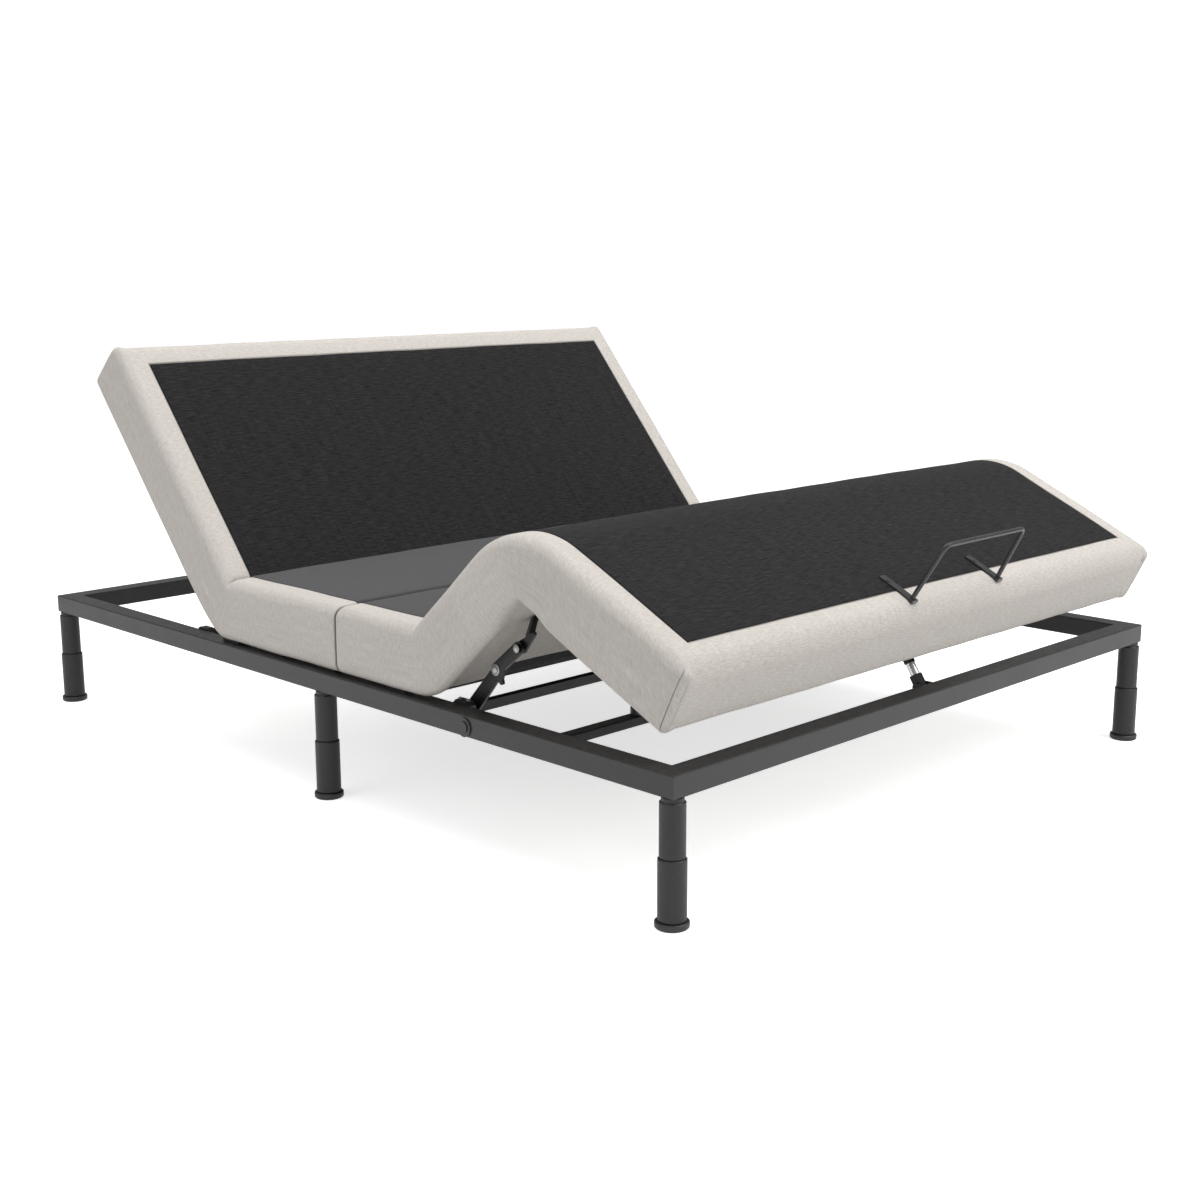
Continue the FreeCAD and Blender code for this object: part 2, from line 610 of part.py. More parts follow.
def make_deck():
    """Two fixed seat sections and the head, thigh and foot sections."""
    head_seat = make_section("seat_head", straight_end(SEAM_Y), bent_end(HEAD_PIVOT, HEAD_ANGLE, -1),
                             [HEAD_PIVOT], stay)
    foot_seat = make_section("seat_foot", bent_end(THIGH_PIVOT, THIGH_ANGLE, 1), straight_end(SEAM_Y),
                             [THIGH_PIVOT], stay)
    export("seat_boards", head_seat, foot_seat)
    export("head_board", make_section("head", bent_end(HEAD_PIVOT, HEAD_ANGLE, 1), straight_end(HEAD_END_Y),
                                      [HEAD_PIVOT], raise_head))
    export("thigh_board", make_section("thigh", bent_end(KNEE_PIVOT, KNEE_ANGLE, 1, above=False),
                                       bent_end(THIGH_PIVOT, THIGH_ANGLE, -1), [THIGH_PIVOT, KNEE_PIVOT],
                                       raise_thigh))
    export("foot_board", make_section("foot", straight_end(FOOT_END_Y),
                                      bent_end(KNEE_PIVOT, KNEE_ANGLE, -1, above=False), [KNEE_PIVOT], raise_foot))


def fan_strip(pivot, outer_radius, start_angle, sweep):
    """Curved strip of cover cloth round a pivot, as wide as the deck."""
    end_gap = math.degrees(SOFT_GAP / outer_radius)
    start = start_angle + end_gap
    end = start_angle + sweep - end_gap
    middle = (start + end) / 2
    inner_radius = outer_radius - GUSSET_THICKNESS

    def at(radius, angle):
        y, z = polar(pivot, radius, angle)
        return vec(-DECK_HALF, y, z)

    outer = Part.Arc(at(outer_radius, start), at(outer_radius, middle), at(outer_radius, end)).toShape()
    inner = Part.Arc(at(inner_radius, end), at(inner_radius, middle), at(inner_radius, start)).toShape()
    first = Part.LineSegment(at(outer_radius, end), at(inner_radius, end)).toShape()
    last = Part.LineSegment(at(inner_radius, start), at(outer_radius, start)).toShape()
    return Part.Face(Part.Wire([outer, first, inner, last])).extrude(vec(2 * DECK_HALF, 0, 0))


def make_gussets():
    """Folding cover strips: under the thigh hinge and over the knee."""
    thigh_radius = DECK_THICKNESS - THIGH_PIVOT_DEPTH
    export("thigh_gusset", fan_strip(THIGH_PIVOT, thigh_radius, -90 - THIGH_ANGLE, THIGH_ANGLE))
    knee_start = 90 - THIGH_ANGLE
    export("knee_gusset", fan_strip(KNEE_RAISED, KNEE_PIVOT_DEPTH, knee_start, KNEE_ANGLE))


# ---- deck hinges ---------------------------------------------------------------------------------------------
def leaf_outline(pivot, side, low):
    """Outline of a leaf that drops beside the pivot and then runs along the board."""
    near = pivot[0]
    wide = pivot[0] + side * LEAF_WIDTH
    far = pivot[0] + side * HINGE_REACH
    strip_top = DECK_BOTTOM + BOARD_THICKNESS
    if pivot[1] - strip_top > KNUCKLE_RADIUS:
        return [(near, low), (far, low), (far, strip_top), (wide, strip_top), (wide, pivot[1]), (near, pivot[1])]
    start = pivot[0] + side * KNUCKLE_RADIUS
    return [(start, low), (far, low), (far, strip_top), (near, strip_top), (near, pivot[1])]


def hinge_leaf(pivot, side, offsets, is_pin_owner):
    """Hinge leaf let into a board: knuckle plates at the X offsets, joined by a block at the far end."""
    low = DECK_BOTTOM
    half = LEAF_THICKNESS / 2
    outline = leaf_outline(pivot, side, low)
    plates = []
    for offset in offsets:
        x_range = (HINGE_X + offset - half, HINGE_X + offset + half)
        plates.append(slab_x(outline, *x_range))
        plates.append(rod_x(pivot, KNUCKLE_RADIUS, *x_range))
    far = sorted((pivot[0] + side * HINGE_REACH, pivot[0] + side * HINGE_REACH / 2))
    root = block((HINGE_X - HINGE_SLOT_HALF, HINGE_X + HINGE_SLOT_HALF), far, (low, low + BOARD_THICKNESS))
    leaf = root.fuse(plates).removeSplitter()
    bore = PIN_RADIUS if is_pin_owner else PIN_RADIUS + RUNNING_GAP
    return leaf.cut(rod_x(pivot, bore, HINGE_X - HINGE_SLOT_HALF, HINGE_X + HINGE_SLOT_HALF))


def hinge_pin(pivot):
    """Pin through one deck hinge."""
    reach = LEAF_PITCH + LEAF_THICKNESS / 2
    return rod_x(pivot, PIN_RADIUS, HINGE_X - reach, HINGE_X + reach)


def head_hinge_stand():
    """Pair of ears welded on the hinge beam, either side of the head leaf."""
    half = LEAF_THICKNESS / 2
    ears = []
    for offset in (-LEAF_PITCH, LEAF_PITCH):
        x_range = (HINGE_X + offset - half, HINGE_X + offset + half)
        ear = block(x_range, (HEAD_PIVOT[0] - KNUCKLE_RADIUS, HEAD_PIVOT[0] + KNUCKLE_RADIUS),
                    (HINGE_BEAM_TOP, HEAD_PIVOT[1])).fuse(rod_x(HEAD_PIVOT, KNUCKLE_RADIUS, *x_range))
        ears.append(ear.removeSplitter().cut(hinge_pin(HEAD_PIVOT)))
    return ears


def make_hinges():
    """Pairs of deck hinges at head, thigh and knee."""
    outer = (-LEAF_PITCH, LEAF_PITCH)
    inner = (0.0,)
    fixed = head_hinge_stand() + [hinge_leaf(THIGH_PIVOT, 1, outer, True)]
    export("seat_hinge_leaves", *[leaf for shape in fixed for leaf in pair(shape)])
    export("head_hinge_leaves", *pair(raise_head(hinge_leaf(HEAD_PIVOT, 1, inner, False))))
    thigh = [hinge_leaf(THIGH_PIVOT, -1, inner, False), hinge_leaf(KNEE_PIVOT, 1, outer, True)]
    export("thigh_hinge_leaves", *[leaf for shape in thigh for leaf in pair(raise_thigh(shape))])
    export("foot_hinge_leaves", *pair(raise_foot(hinge_leaf(KNEE_PIVOT, -1, inner, False))))
    export("seat_hinge_pins", *(pair(hinge_pin(HEAD_PIVOT)) + pair(hinge_pin(THIGH_PIVOT))))
    export("knee_hinge_pins", *pair(raise_thigh(hinge_pin(KNEE_PIVOT))))


# ---- lift shafts ---------------------------------------------------------------------------------------------
def bearing_block(shaft):
    """Bearing block bolted to a side rail's inner face, bored for the shaft's axle."""
    inner_x = RAIL_INNER_X - BLOCK_WIDTH
    half = BLOCK_LENGTH / 2
    top = shaft[1] + BLOCK_HEIGHT / 2
    body = slab_x([(shaft[0] - half, top - BLOCK_HEIGHT), (shaft[0] + half, top - BLOCK_HEIGHT),
                   (shaft[0] + half, top - BLOCK_EDGE), (shaft[0] + half - BLOCK_EDGE, top),
                   (shaft[0] - half + BLOCK_EDGE, top), (shaft[0] - half, top - BLOCK_EDGE)], inner_x, RAIL_INNER_X)
    return body.cut(rod_x(shaft, AXLE_RADIUS + RUNNING_GAP, inner_x, RAIL_INNER_X))


def block_bolts(shaft):
    """Bolt heads on the inner face of a bearing block."""
    inner_x = RAIL_INNER_X - BLOCK_WIDTH
    reach = BLOCK_LENGTH / 2 - BLOCK_BOLT_RADIUS - LEG_EDGE
    return [rod_x((shaft[0] + sign * reach, shaft[1]), BLOCK_BOLT_RADIUS, inner_x - BOLT_HEAD / 2, inner_x)
            for sign in (-1, 1)]


def axle(shaft, inner_x):
    """Round axle from the shaft's end into its bearing block."""
    return rod_x(shaft, AXLE_RADIUS, inner_x, RAIL_INNER_X - TUBE_WALL)


def make_foot_lift():
    """Foot lift shaft with its arms and links."""
    arm_inner = LINK_X - PLATE
    half = FOOT_SHAFT_SIDE / 2
    shaft = block((-arm_inner, arm_inner), (FOOT_SHAFT[0] - half, FOOT_SHAFT[0] + half),
                  (FOOT_SHAFT[1] - half, FOOT_SHAFT[1] + half))
    bore = half - TUBE_WALL
    shaft = shaft.cut(block((-arm_inner, arm_inner), (FOOT_SHAFT[0] - bore, FOOT_SHAFT[0] + bore),
                            (FOOT_SHAFT[1] - bore, FOOT_SHAFT[1] + bore)))
    export("foot_lift_shaft", shaft)
    arm = bar_between(FOOT_SHAFT, ELBOW, ARM_ROOT_RADIUS, ARM_TIP_RADIUS, arm_inner, LINK_X)
    arm = arm.fuse(axle(FOOT_SHAFT, LINK_X)).removeSplitter()
    export("lift_arms", *pair(arm))
    link_in = LINK_X + PLATE_GAP
    link_out = link_in + PLATE
    tail = polar(ELBOW, LINK_TAIL, direction(LINK_TOP, ELBOW) - LINK_TAIL_TURN)
    waist = ((ELBOW[0] + LINK_TOP[0]) / 2, (ELBOW[1] + LINK_TOP[1]) / 2)
    link = bar_between(LINK_TOP, ELBOW, ARM_TIP_RADIUS, ARM_TIP_RADIUS, link_in, link_out)
    link = link.fuse([bar_between(ELBOW, tail, ARM_TIP_RADIUS, ARM_TIP_RADIUS / 3, link_in, link_out),
                      slab_x([ELBOW, tail, waist], link_in, link_out)])
    link = link.removeSplitter().cut(rod_x(LINK_TOP, LINK_PIN_RADIUS + RUNNING_GAP, link_in, link_out))
    export("lift_links", *pair(link))
    elbow_bolt = rod_x(ELBOW, ELBOW_HEAD_RADIUS, link_out, link_out + BOLT_HEAD)
    export("elbow_bolts", *pair(elbow_bolt))


def make_thigh_brackets():
    """Brackets under the thigh board that carry the links' upper pins, and the pins."""
    flat_pin = turn_point(LINK_TOP, THIGH_PIVOT, THIGH_ANGLE)
    ear_in = LINK_X - PLATE
    y_start = flat_pin[0] - BRACKET_SHIFT - BRACKET_WIDTH / 2
    wing = polar(flat_pin, BRACKET_WING, 180)
    ear = bar_between(flat_pin, wing, ARM_TIP_RADIUS, ARM_TIP_RADIUS / 4, ear_in, LINK_X)
    low = flat_pin[1]
    bend_x = BRACKET_FOOT_X + BRACKET_FOOT
    outline = [(LINK_X, low), (ear_in, low), (bend_x, DECK_BOTTOM - PLATE), (BRACKET_FOOT_X, DECK_BOTTOM - PLATE),
               (BRACKET_FOOT_X, DECK_BOTTOM), (bend_x + PLATE, DECK_BOTTOM), (LINK_X, low + 1.5 * PLATE)]
    wire = Part.makePolygon([vec(x, y_start, z) for x, z in outline + outline[:1]])
    web = Part.Face(wire).extrude(vec(0, BRACKET_WIDTH, 0))
    pin = rod_x(flat_pin, LINK_PIN_RADIUS, ear_in, LINK_X + PLATE_GAP + PLATE)
    head = rod_x(flat_pin, LINK_HEAD_RADIUS, LINK_X + PLATE_GAP + PLATE + RUNNING_GAP,
                 LINK_X + PLATE_GAP + PLATE + BOLT_HEAD)
    pin = pin.fuse([rod_x(flat_pin, LINK_PIN_RADIUS, LINK_X, LINK_X + PLATE_GAP + PLATE + BOLT_HEAD), head])
    pin = pin.removeSplitter()
    bracket = web.fuse(ear).removeSplitter().cut(pin)
    export("thigh_brackets", *(pair(raise_thigh(bracket)) + pair(raise_thigh(pin))))


def make_head_lift():
    """Head lift shaft with its arms, rollers and the runners under the head board."""
    arm_half = PLATE / 2
    shaft_end = RAIL_INNER_X - BLOCK_WIDTH - BOLT_HEAD
    tube = rod_x(HEAD_SHAFT, HEAD_SHAFT_RADIUS, -shaft_end, shaft_end)
    tube = tube.fuse(pair(axle(HEAD_SHAFT, shaft_end)))
    export("head_lift_shaft", tube.removeSplitter())
    fork = HEAD_ROLLER_WIDTH / 2 + ROLLER_GAP
    arms = []
    for offset in (-fork - PLATE, fork):
        x_range = (HEAD_ARM_X + offset, HEAD_ARM_X + offset + PLATE)
        arm = bar_between(HEAD_SHAFT, HEAD_ROLLER, HEAD_SHAFT_RADIUS + arm_half + PLATE, ARM_TIP_RADIUS, *x_range)
        arms.append(arm.cut(rod_x(HEAD_SHAFT, HEAD_SHAFT_RADIUS, *x_range)))
    pin = rod_x(HEAD_ROLLER, LINK_PIN_RADIUS, HEAD_ARM_X - fork - PLATE, HEAD_ARM_X + fork + PLATE)
    arms = [arm.cut(pin) for arm in arms] + [pin]
    crank_bore = rod_x(HEAD_SHAFT, HEAD_SHAFT_RADIUS, -2 * ACTUATOR_X, 0)
    cranks = crank_plates(HEAD_SHAFT, HEAD_SHAFT_RADIUS, HEAD_CRANK_TIP, -ACTUATOR_X)
    export("head_lift_arms", *([arm for shape in arms for arm in pair(shape)]
                               + [plate.cut(crank_bore) for plate in cranks]))
    half = HEAD_ROLLER_WIDTH / 2
    roller = rod_x(HEAD_ROLLER, HEAD_ROLLER_RADIUS, HEAD_ARM_X - half, HEAD_ARM_X + half)
    roller = roller.cut(rod_x(HEAD_ROLLER, LINK_PIN_RADIUS + RUNNING_GAP, HEAD_ARM_X - half, HEAD_ARM_X + half))
    export("head_rollers", *pair(roller))
    flat_reach = HEAD_SHAFT_Y + HEAD_ARM_LENGTH * math.cos(math.radians(HEAD_ARM_FLAT))
    runner = block((HEAD_ARM_X - RUNNER_WIDTH / 2, HEAD_ARM_X + RUNNER_WIDTH / 2),
                   (HEAD_PIVOT_Y + HEAD_ROLLER_ALONG - RUNNER_MARGIN, flat_reach + RUNNER_MARGIN),
                   (DECK_BOTTOM - RUNNER_THICKNESS, DECK_BOTTOM))
    export("head_runners", *pair(raise_head(runner)))
    export("shaft_blocks", *(pair(bearing_block(HEAD_SHAFT)) + pair(bearing_block(FOOT_SHAFT))))
    bolts = block_bolts(FOOT_SHAFT) + block_bolts(HEAD_SHAFT)
    export("block_bolts", *(bolts + [mirror(bolt) for bolt in bolts]))


# ---- actuators -----------------------------------------------------------------------------------------------
def place_actuator(shape, rear, tip, x_centre):
    """Turn a shape drawn along +Y from the origin so that it points from the rear pivot to the tip."""
    placed = shape.copy()
    placed.rotate(vec(0, 0, 0), vec(1, 0, 0), direction(rear, tip))
    if tip[0] < rear[0]:
        placed = shape.mirror(vec(0, 0, 0), vec(0, 1, 0))
        placed.rotate(vec(0, 0, 0), vec(1, 0, 0), direction(rear, tip) - 180)
    placed.translate(vec(x_centre, rear[0], rear[1]))
    return placed


def make_actuator(name, rear, tip, flat_tip, x_centre, beam_face_y):
    """Linear actuator: gearbox housing, motor, outer tube, sliding rod and rear bracket with its pin."""
    long_length = math.dist(rear, tip)
    short_length = math.dist(rear, flat_tip)
    half_eye = EYE_THICKNESS / 2
    housing_start = HOUSING_STANDOFF
    housing_end = housing_start + HOUSING_LENGTH
    tube_end = short_length - EYE_RADIUS - EYE_TO_TUBE
    hole = rod_x((0, 0), EYE_PIN_RADIUS + RUNNING_GAP, -half_eye, half_eye)
    neck = block((-half_eye, half_eye), (0, housing_start), (-EYE_RADIUS / 2, EYE_RADIUS / 2))
    housing = block((-HOUSING_HALF_WIDTH, HOUSING_HALF_WIDTH), (housing_start, housing_end),
                    (-HOUSING_DOWN, HOUSING_UP))
    housing = housing.fuse([rod_x((0, 0), EYE_RADIUS, -half_eye, half_eye), neck]).removeSplitter().cut(hole)
    motor = Part.makeCylinder(MOTOR_RADIUS, MOTOR_LENGTH, vec(0, housing_end, -MOTOR_DROP), vec(0, 1, 0))
    tube = Part.makeCylinder(OUTER_TUBE_RADIUS, tube_end - housing_end, vec(0, housing_end, 0), vec(0, 1, 0))
    tube = tube.cut(Part.makeCylinder(ROD_RADIUS + ROD_GAP, tube_end - housing_end, vec(0, housing_end, 0),
                                      vec(0, 1, 0)))
    rod_length = short_length - housing_end - ROD_FREE
    rod = Part.makeCylinder(ROD_RADIUS, rod_length, vec(0, long_length - rod_length, 0), vec(0, 1, 0))
    rod = rod.fuse(rod_x((long_length, 0), EYE_RADIUS, -half_eye, half_eye)).removeSplitter()
    housing = housing.fuse(tube).removeSplitter()
    for part_name, shape in (("housing", housing), ("motor", motor), ("rod", rod)):
        export(name + "_actuator_" + part_name, place_actuator(shape, rear, tip, x_centre))
    ear_in = half_eye + CRANK_GAP
    ear_out = ear_in + PLATE
    y_range = sorted((beam_face_y, rear[0]))
    pin = rod_x(rear, EYE_PIN_RADIUS, x_centre - ear_out, x_centre + ear_out)
    ears = []
    for low, high in ((-ear_out, -ear_in), (ear_in, ear_out)):
        x_range = (x_centre + low, x_centre + high)
        ear = block(x_range, y_range, (rear[1] - EYE_RADIUS, LEG_HEIGHT + RAIL_HEIGHT / 2))
        ears.append(ear.fuse(rod_x(rear, EYE_RADIUS, *x_range)).removeSplitter().cut(pin))
    return ears, pin


def crank_plates(shaft, shaft_radius, tip, x_centre):
    """Pair of crank plates on a lift shaft, either side of the actuator's rod eye."""
    ear_in = EYE_THICKNESS / 2 + CRANK_GAP
    plates = []
    for low, high in ((-ear_in - PLATE, -ear_in), (ear_in, ear_in + PLATE)):
        x_range = (x_centre + low, x_centre + high)
        plates.append(bar_between(shaft, tip, shaft_radius + PLATE, EYE_RADIUS, *x_range))
    return plates


def make_actuators():
    """Head and foot actuators with their brackets, and the foot crank."""
    head_face = ACTUATOR_BEAM_Y + ACTUATOR_BEAM_WIDTH / 2
    foot_face = ACTUATOR_BEAM_Y - ACTUATOR_BEAM_WIDTH / 2
    head_ears, head_pin = make_actuator("head", HEAD_REAR, HEAD_CRANK_TIP, HEAD_CRANK_FLAT, -ACTUATOR_X, head_face)
    foot_ears, foot_pin = make_actuator("foot", FOOT_REAR, FOOT_CRANK_TIP, FOOT_CRANK_FLAT, ACTUATOR_X, foot_face)
    export("actuator_brackets", *(head_ears + foot_ears), head_pin, foot_pin)
    half = FOOT_SHAFT_SIDE / 2
    square = block((0, 2 * ACTUATOR_X), (FOOT_SHAFT[0] - half, FOOT_SHAFT[0] + half),
                   (FOOT_SHAFT[1] - half, FOOT_SHAFT[1] + half))
    foot_plates = crank_plates(FOOT_SHAFT, half, FOOT_CRANK_TIP, ACTUATOR_X)
    export("foot_crank", *[plate.cut(square) for plate in foot_plates])


def make_control_box():
    """Control box hung on the actuator beam, with its mains inlet."""
    face = ACTUATOR_BEAM_Y + ACTUATOR_BEAM_WIDTH / 2
    x_range = (CONTROL_X, CONTROL_X + CONTROL_LENGTH)
    z_range = (FRAME_TOP - CONTROL_HEIGHT, FRAME_TOP)
    box = block(x_range, (face, face + CONTROL_WIDTH), z_range)
    flange = block((x_range[0] - CONTROL_WIDTH / 4, x_range[1] + CONTROL_WIDTH / 4), (face, face + CONTROL_FLANGE),
                   z_range)
    middle_x = CONTROL_X + CONTROL_LENGTH / 2
    end_y = face + CONTROL_WIDTH
    middle_z = FRAME_TOP - CONTROL_HEIGHT / 2
    socket = block((middle_x - INLET_WIDTH / 2, middle_x + INLET_WIDTH / 2), (end_y - INLET_DEPTH, end_y),
                   (middle_z - INLET_HEIGHT / 2, middle_z + INLET_HEIGHT / 2))
    export("control_box", box.fuse(flange).removeSplitter().cut(socket))
    mouth = block((middle_x - INLET_WIDTH / 2 + TUBE_WALL, middle_x + INLET_WIDTH / 2 - TUBE_WALL),
                  (end_y - INLET_DEPTH + TUBE_WALL, end_y),
                  (middle_z - INLET_HEIGHT / 2 + TUBE_WALL, middle_z + INLET_HEIGHT / 2 - TUBE_WALL))
    export("mains_inlet", socket.cut(mouth))


# ---- foot support arm ----------------------------------------------------------------------------------------
def make_support_arm():
    """Sprung arm on the foot rail whose roller steadies the foot section."""
    half = SUPPORT_WIDTH / 2
    depth = SUPPORT_DEPTH / 2

    def along(start, end, width, thickness):
        return turn(block((-width, width), (SUPPORT_PIVOT_Y + start, SUPPORT_PIVOT_Y + end),
                          (SUPPORT_PIVOT_Z - thickness, SUPPORT_PIVOT_Z + thickness)), SUPPORT_PIVOT, SUPPORT_RAISED)

    root = along(0, SUPPORT_BLOCK, half, depth).fuse(rod_x(SUPPORT_PIVOT, depth, -half, half)).removeSplitter()
    root = root.cut(rod_x(SUPPORT_PIVOT, PIN_RADIUS + RUNNING_GAP, -half, half))
    sleeve = Part.makeCylinder(SLEEVE_RADIUS, SLEEVE_LENGTH, vec(0, SUPPORT_PIVOT_Y + SUPPORT_BLOCK, SUPPORT_PIVOT_Z),
                               vec(0, 1, 0))
    sleeve = turn(sleeve, SUPPORT_PIVOT, SUPPORT_RAISED)
    tip_start = SUPPORT_BLOCK + SLEEVE_LENGTH
    fork = along(tip_start, SUPPORT_LENGTH, half, depth / 2 + LEG_EDGE)
    fork = fork.fuse(rod_x(SUPPORT_ROLLER, depth / 2 + LEG_EDGE, -half, half)).removeSplitter()
    gap_half = half - LEAF_THICKNESS
    gap = along(SUPPORT_LENGTH - SUPPORT_ROLLER_RADIUS - ROLLER_GAP, SUPPORT_LENGTH + SUPPORT_DEPTH, gap_half,
                SUPPORT_DEPTH)
    pin = rod_x(SUPPORT_ROLLER, PIN_RADIUS / 2, -half, half)
    export("support_arm", root, fork.cut([gap, pin]), pin)
    export("support_sleeve", sleeve)
    roller_half = gap_half - ROLLER_GAP / 2
    roller = rod_x(SUPPORT_ROLLER, SUPPORT_ROLLER_RADIUS, -roller_half, roller_half)
    export("support_roller", roller.cut(rod_x(SUPPORT_ROLLER, PIN_RADIUS / 2 + RUNNING_GAP, -half, half)))
    make_support_bracket(half)
    flat_reach = SUPPORT_PIVOT_Y + SUPPORT_LENGTH * math.cos(math.radians(SUPPORT_FLAT))
    raised = turn_point(turn_point(SUPPORT_ROLLER, THIGH_PIVOT, THIGH_ANGLE), KNEE_PIVOT, -KNEE_ANGLE)
    runner = block((-RUNNER_WIDTH / 2, RUNNER_WIDTH / 2), (raised[0] - RUNNER_MARGIN, flat_reach + RUNNER_MARGIN),
                   (DECK_BOTTOM - SUPPORT_RUNNER, DECK_BOTTOM))
    export("foot_runner", raise_foot(runner))


def make_support_bracket(arm_half):
    """Flared ears welded to the foot rail, and the arm's pivot pin."""
    face = -RAIL_INNER_Y
    reach = SUPPORT_DEPTH / 2
    ears = []
    pin = rod_x(SUPPORT_PIVOT, PIN_RADIUS, -arm_half - RUNNING_GAP - PLATE, arm_half + RUNNING_GAP + PLATE)
    for side in (-1, 1):
        x_range = sorted((side * (arm_half + RUNNING_GAP), side * (arm_half + RUNNING_GAP + PLATE)))
        low = SUPPORT_PIVOT_Z - reach
        ear = slab_x([(face, LEG_HEIGHT + PLATE), (SUPPORT_PIVOT_Y, low), (SUPPORT_PIVOT_Y, SUPPORT_PIVOT_Z + reach),
                      (face, FRAME_TOP)], *x_range)
        ear = ear.fuse(rod_x(SUPPORT_PIVOT, reach, *x_range)).removeSplitter()
        ears.append(ear.cut(pin))
    export("support_bracket", *ears, pin)


# ---- mattress retainer ---------------------------------------------------------------------------------------
def make_retainer():
    """Bent rod with two tabs, bolted through the foot section to stop the mattress sliding."""
    foot_y = FOOT_END_Y + RETAINER_FROM_END
    base_z = DECK_TOP
    top_z = base_z + RETAINER_HEIGHT
    corners = [vec(-RETAINER_FOOT_HALF, foot_y, base_z + TAB_THICKNESS),
               vec(-RETAINER_TOP_HALF, foot_y - RETAINER_LEAN, top_z),
               vec(RETAINER_TOP_HALF, foot_y - RETAINER_LEAN, top_z),
               vec(RETAINER_FOOT_HALF, foot_y, base_z + TAB_THICKNESS)]
    path = rounded_path(corners, RETAINER_BEND)
    start_direction = (corners[1] - corners[0]).normalize()
    profile = Part.Wire(Part.makeCircle(RETAINER_ROD_RADIUS, corners[0], start_direction))
    rod = path.makePipeShell([profile], True, False)
    tabs = []
    bolts = []
    tab_low = FOOT_END_Y + TAB_FROM_END
    for side in (-1, 1):
        x = side * RETAINER_FOOT_HALF
        tabs.append(block((x - TAB_WIDTH / 2, x + TAB_WIDTH / 2), (tab_low, tab_low + TAB_LENGTH),
                          (base_z, base_z + TAB_THICKNESS)))
        bolt_y = tab_low + TAB_LENGTH - TAB_WIDTH
        top = base_z + TAB_THICKNESS
        bolts.append(rod_z(x, bolt_y, TAB_BOLT_RADIUS, top, top + TAB_BOLT_HEIGHT))
    cut_level = block((-2 * RETAINER_FOOT_HALF, 2 * RETAINER_FOOT_HALF), (foot_y - TAB_LENGTH, foot_y + TAB_LENGTH),
                      (base_z, base_z + TAB_THICKNESS))
    rod = rod.cut(cut_level)
    for node, shapes in (("retainer_bar", [rod] + tabs), ("retainer_bolts", bolts)):
        placed = []
        for shape in shapes:
            shape.translate(vec(RETAINER_CENTRE_X, 0, 0))
            placed.append(raise_foot(shape))
        export(node, *placed)


def rounded_path(corners, radius):
    """Wire of straight runs joined by tangent arcs of one radius."""
    edges = []
    start = corners[0]
    for before, corner, after in zip(corners, corners[1:], corners[2:]):
        to_before = (before - corner).normalize()
        to_after = (after - corner).normalize()
        half_angle = to_before.getAngle(to_after) / 2
        setback = radius / math.tan(half_angle)
        first = corner + to_before * setback
        last = corner + to_after * setback
        inward = (to_before + to_after).normalize()
        middle = corner + inward * (radius / math.sin(half_angle) - radius)
        edges.append(Part.LineSegment(start, first).toShape())
        edges.append(Part.Arc(first, middle, last).toShape())
        start = last
    edges.append(Part.LineSegment(start, corners[-1]).toShape())
    return Part.Wire(edges)


def print_travel():
    """Report the joint travel that the record repeats."""
    print("origin shift", ORIGIN_SHIFT)
    print("head pivot", HEAD_PIVOT, "thigh pivot", THIGH_PIVOT, "knee raised", KNEE_RAISED)
    print("knee angle", KNEE_ANGLE)
    print("head arm travel", HEAD_ARM_TRAVEL, "foot arm travel", FOOT_ARM_TRAVEL, "link travel", LINK_TRAVEL)
    print("support travel", SUPPORT_FLAT - SUPPORT_RAISED, "support roller", SUPPORT_ROLLER)
    for rear, tip, flat in ((HEAD_REAR, HEAD_CRANK_TIP, HEAD_CRANK_FLAT), (FOOT_REAR, FOOT_CRANK_TIP, FOOT_CRANK_FLAT)):
        print("actuator", rear, tip, direction(rear, flat) - direction(rear, tip),
              math.dist(rear, flat) - math.dist(rear, tip))
    print("head roller", HEAD_ROLLER)


def main():
    """Write every node."""
    os.makedirs("parts", exist_ok=True)
    make_rails()
    make_cross_tubes()
    make_spacers()
    make_rail_caps()
    make_legs()
    make_deck()
    make_gussets()
    make_hinges()
    make_foot_lift()
    make_thigh_brackets()
    make_head_lift()
    make_actuators()
    make_control_box()
    make_support_arm()
    make_retainer()
    print_travel()


main()
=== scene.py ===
"""Looks of the adjustable bed base: upholstered deck covers, coated steel frame, lift linkages and retainer.

Metres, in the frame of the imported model: +X across the bed, +Y towards the head, +Z up, floor at z = 0.
"""
import json
import logging
import math
from dataclasses import dataclass, field
from enum import Enum
from typing import ClassVar, Dict, Optional, Sequence, Tuple, Union

import bmesh
import bpy
import numpy as np
from mathutils import Matrix, Vector


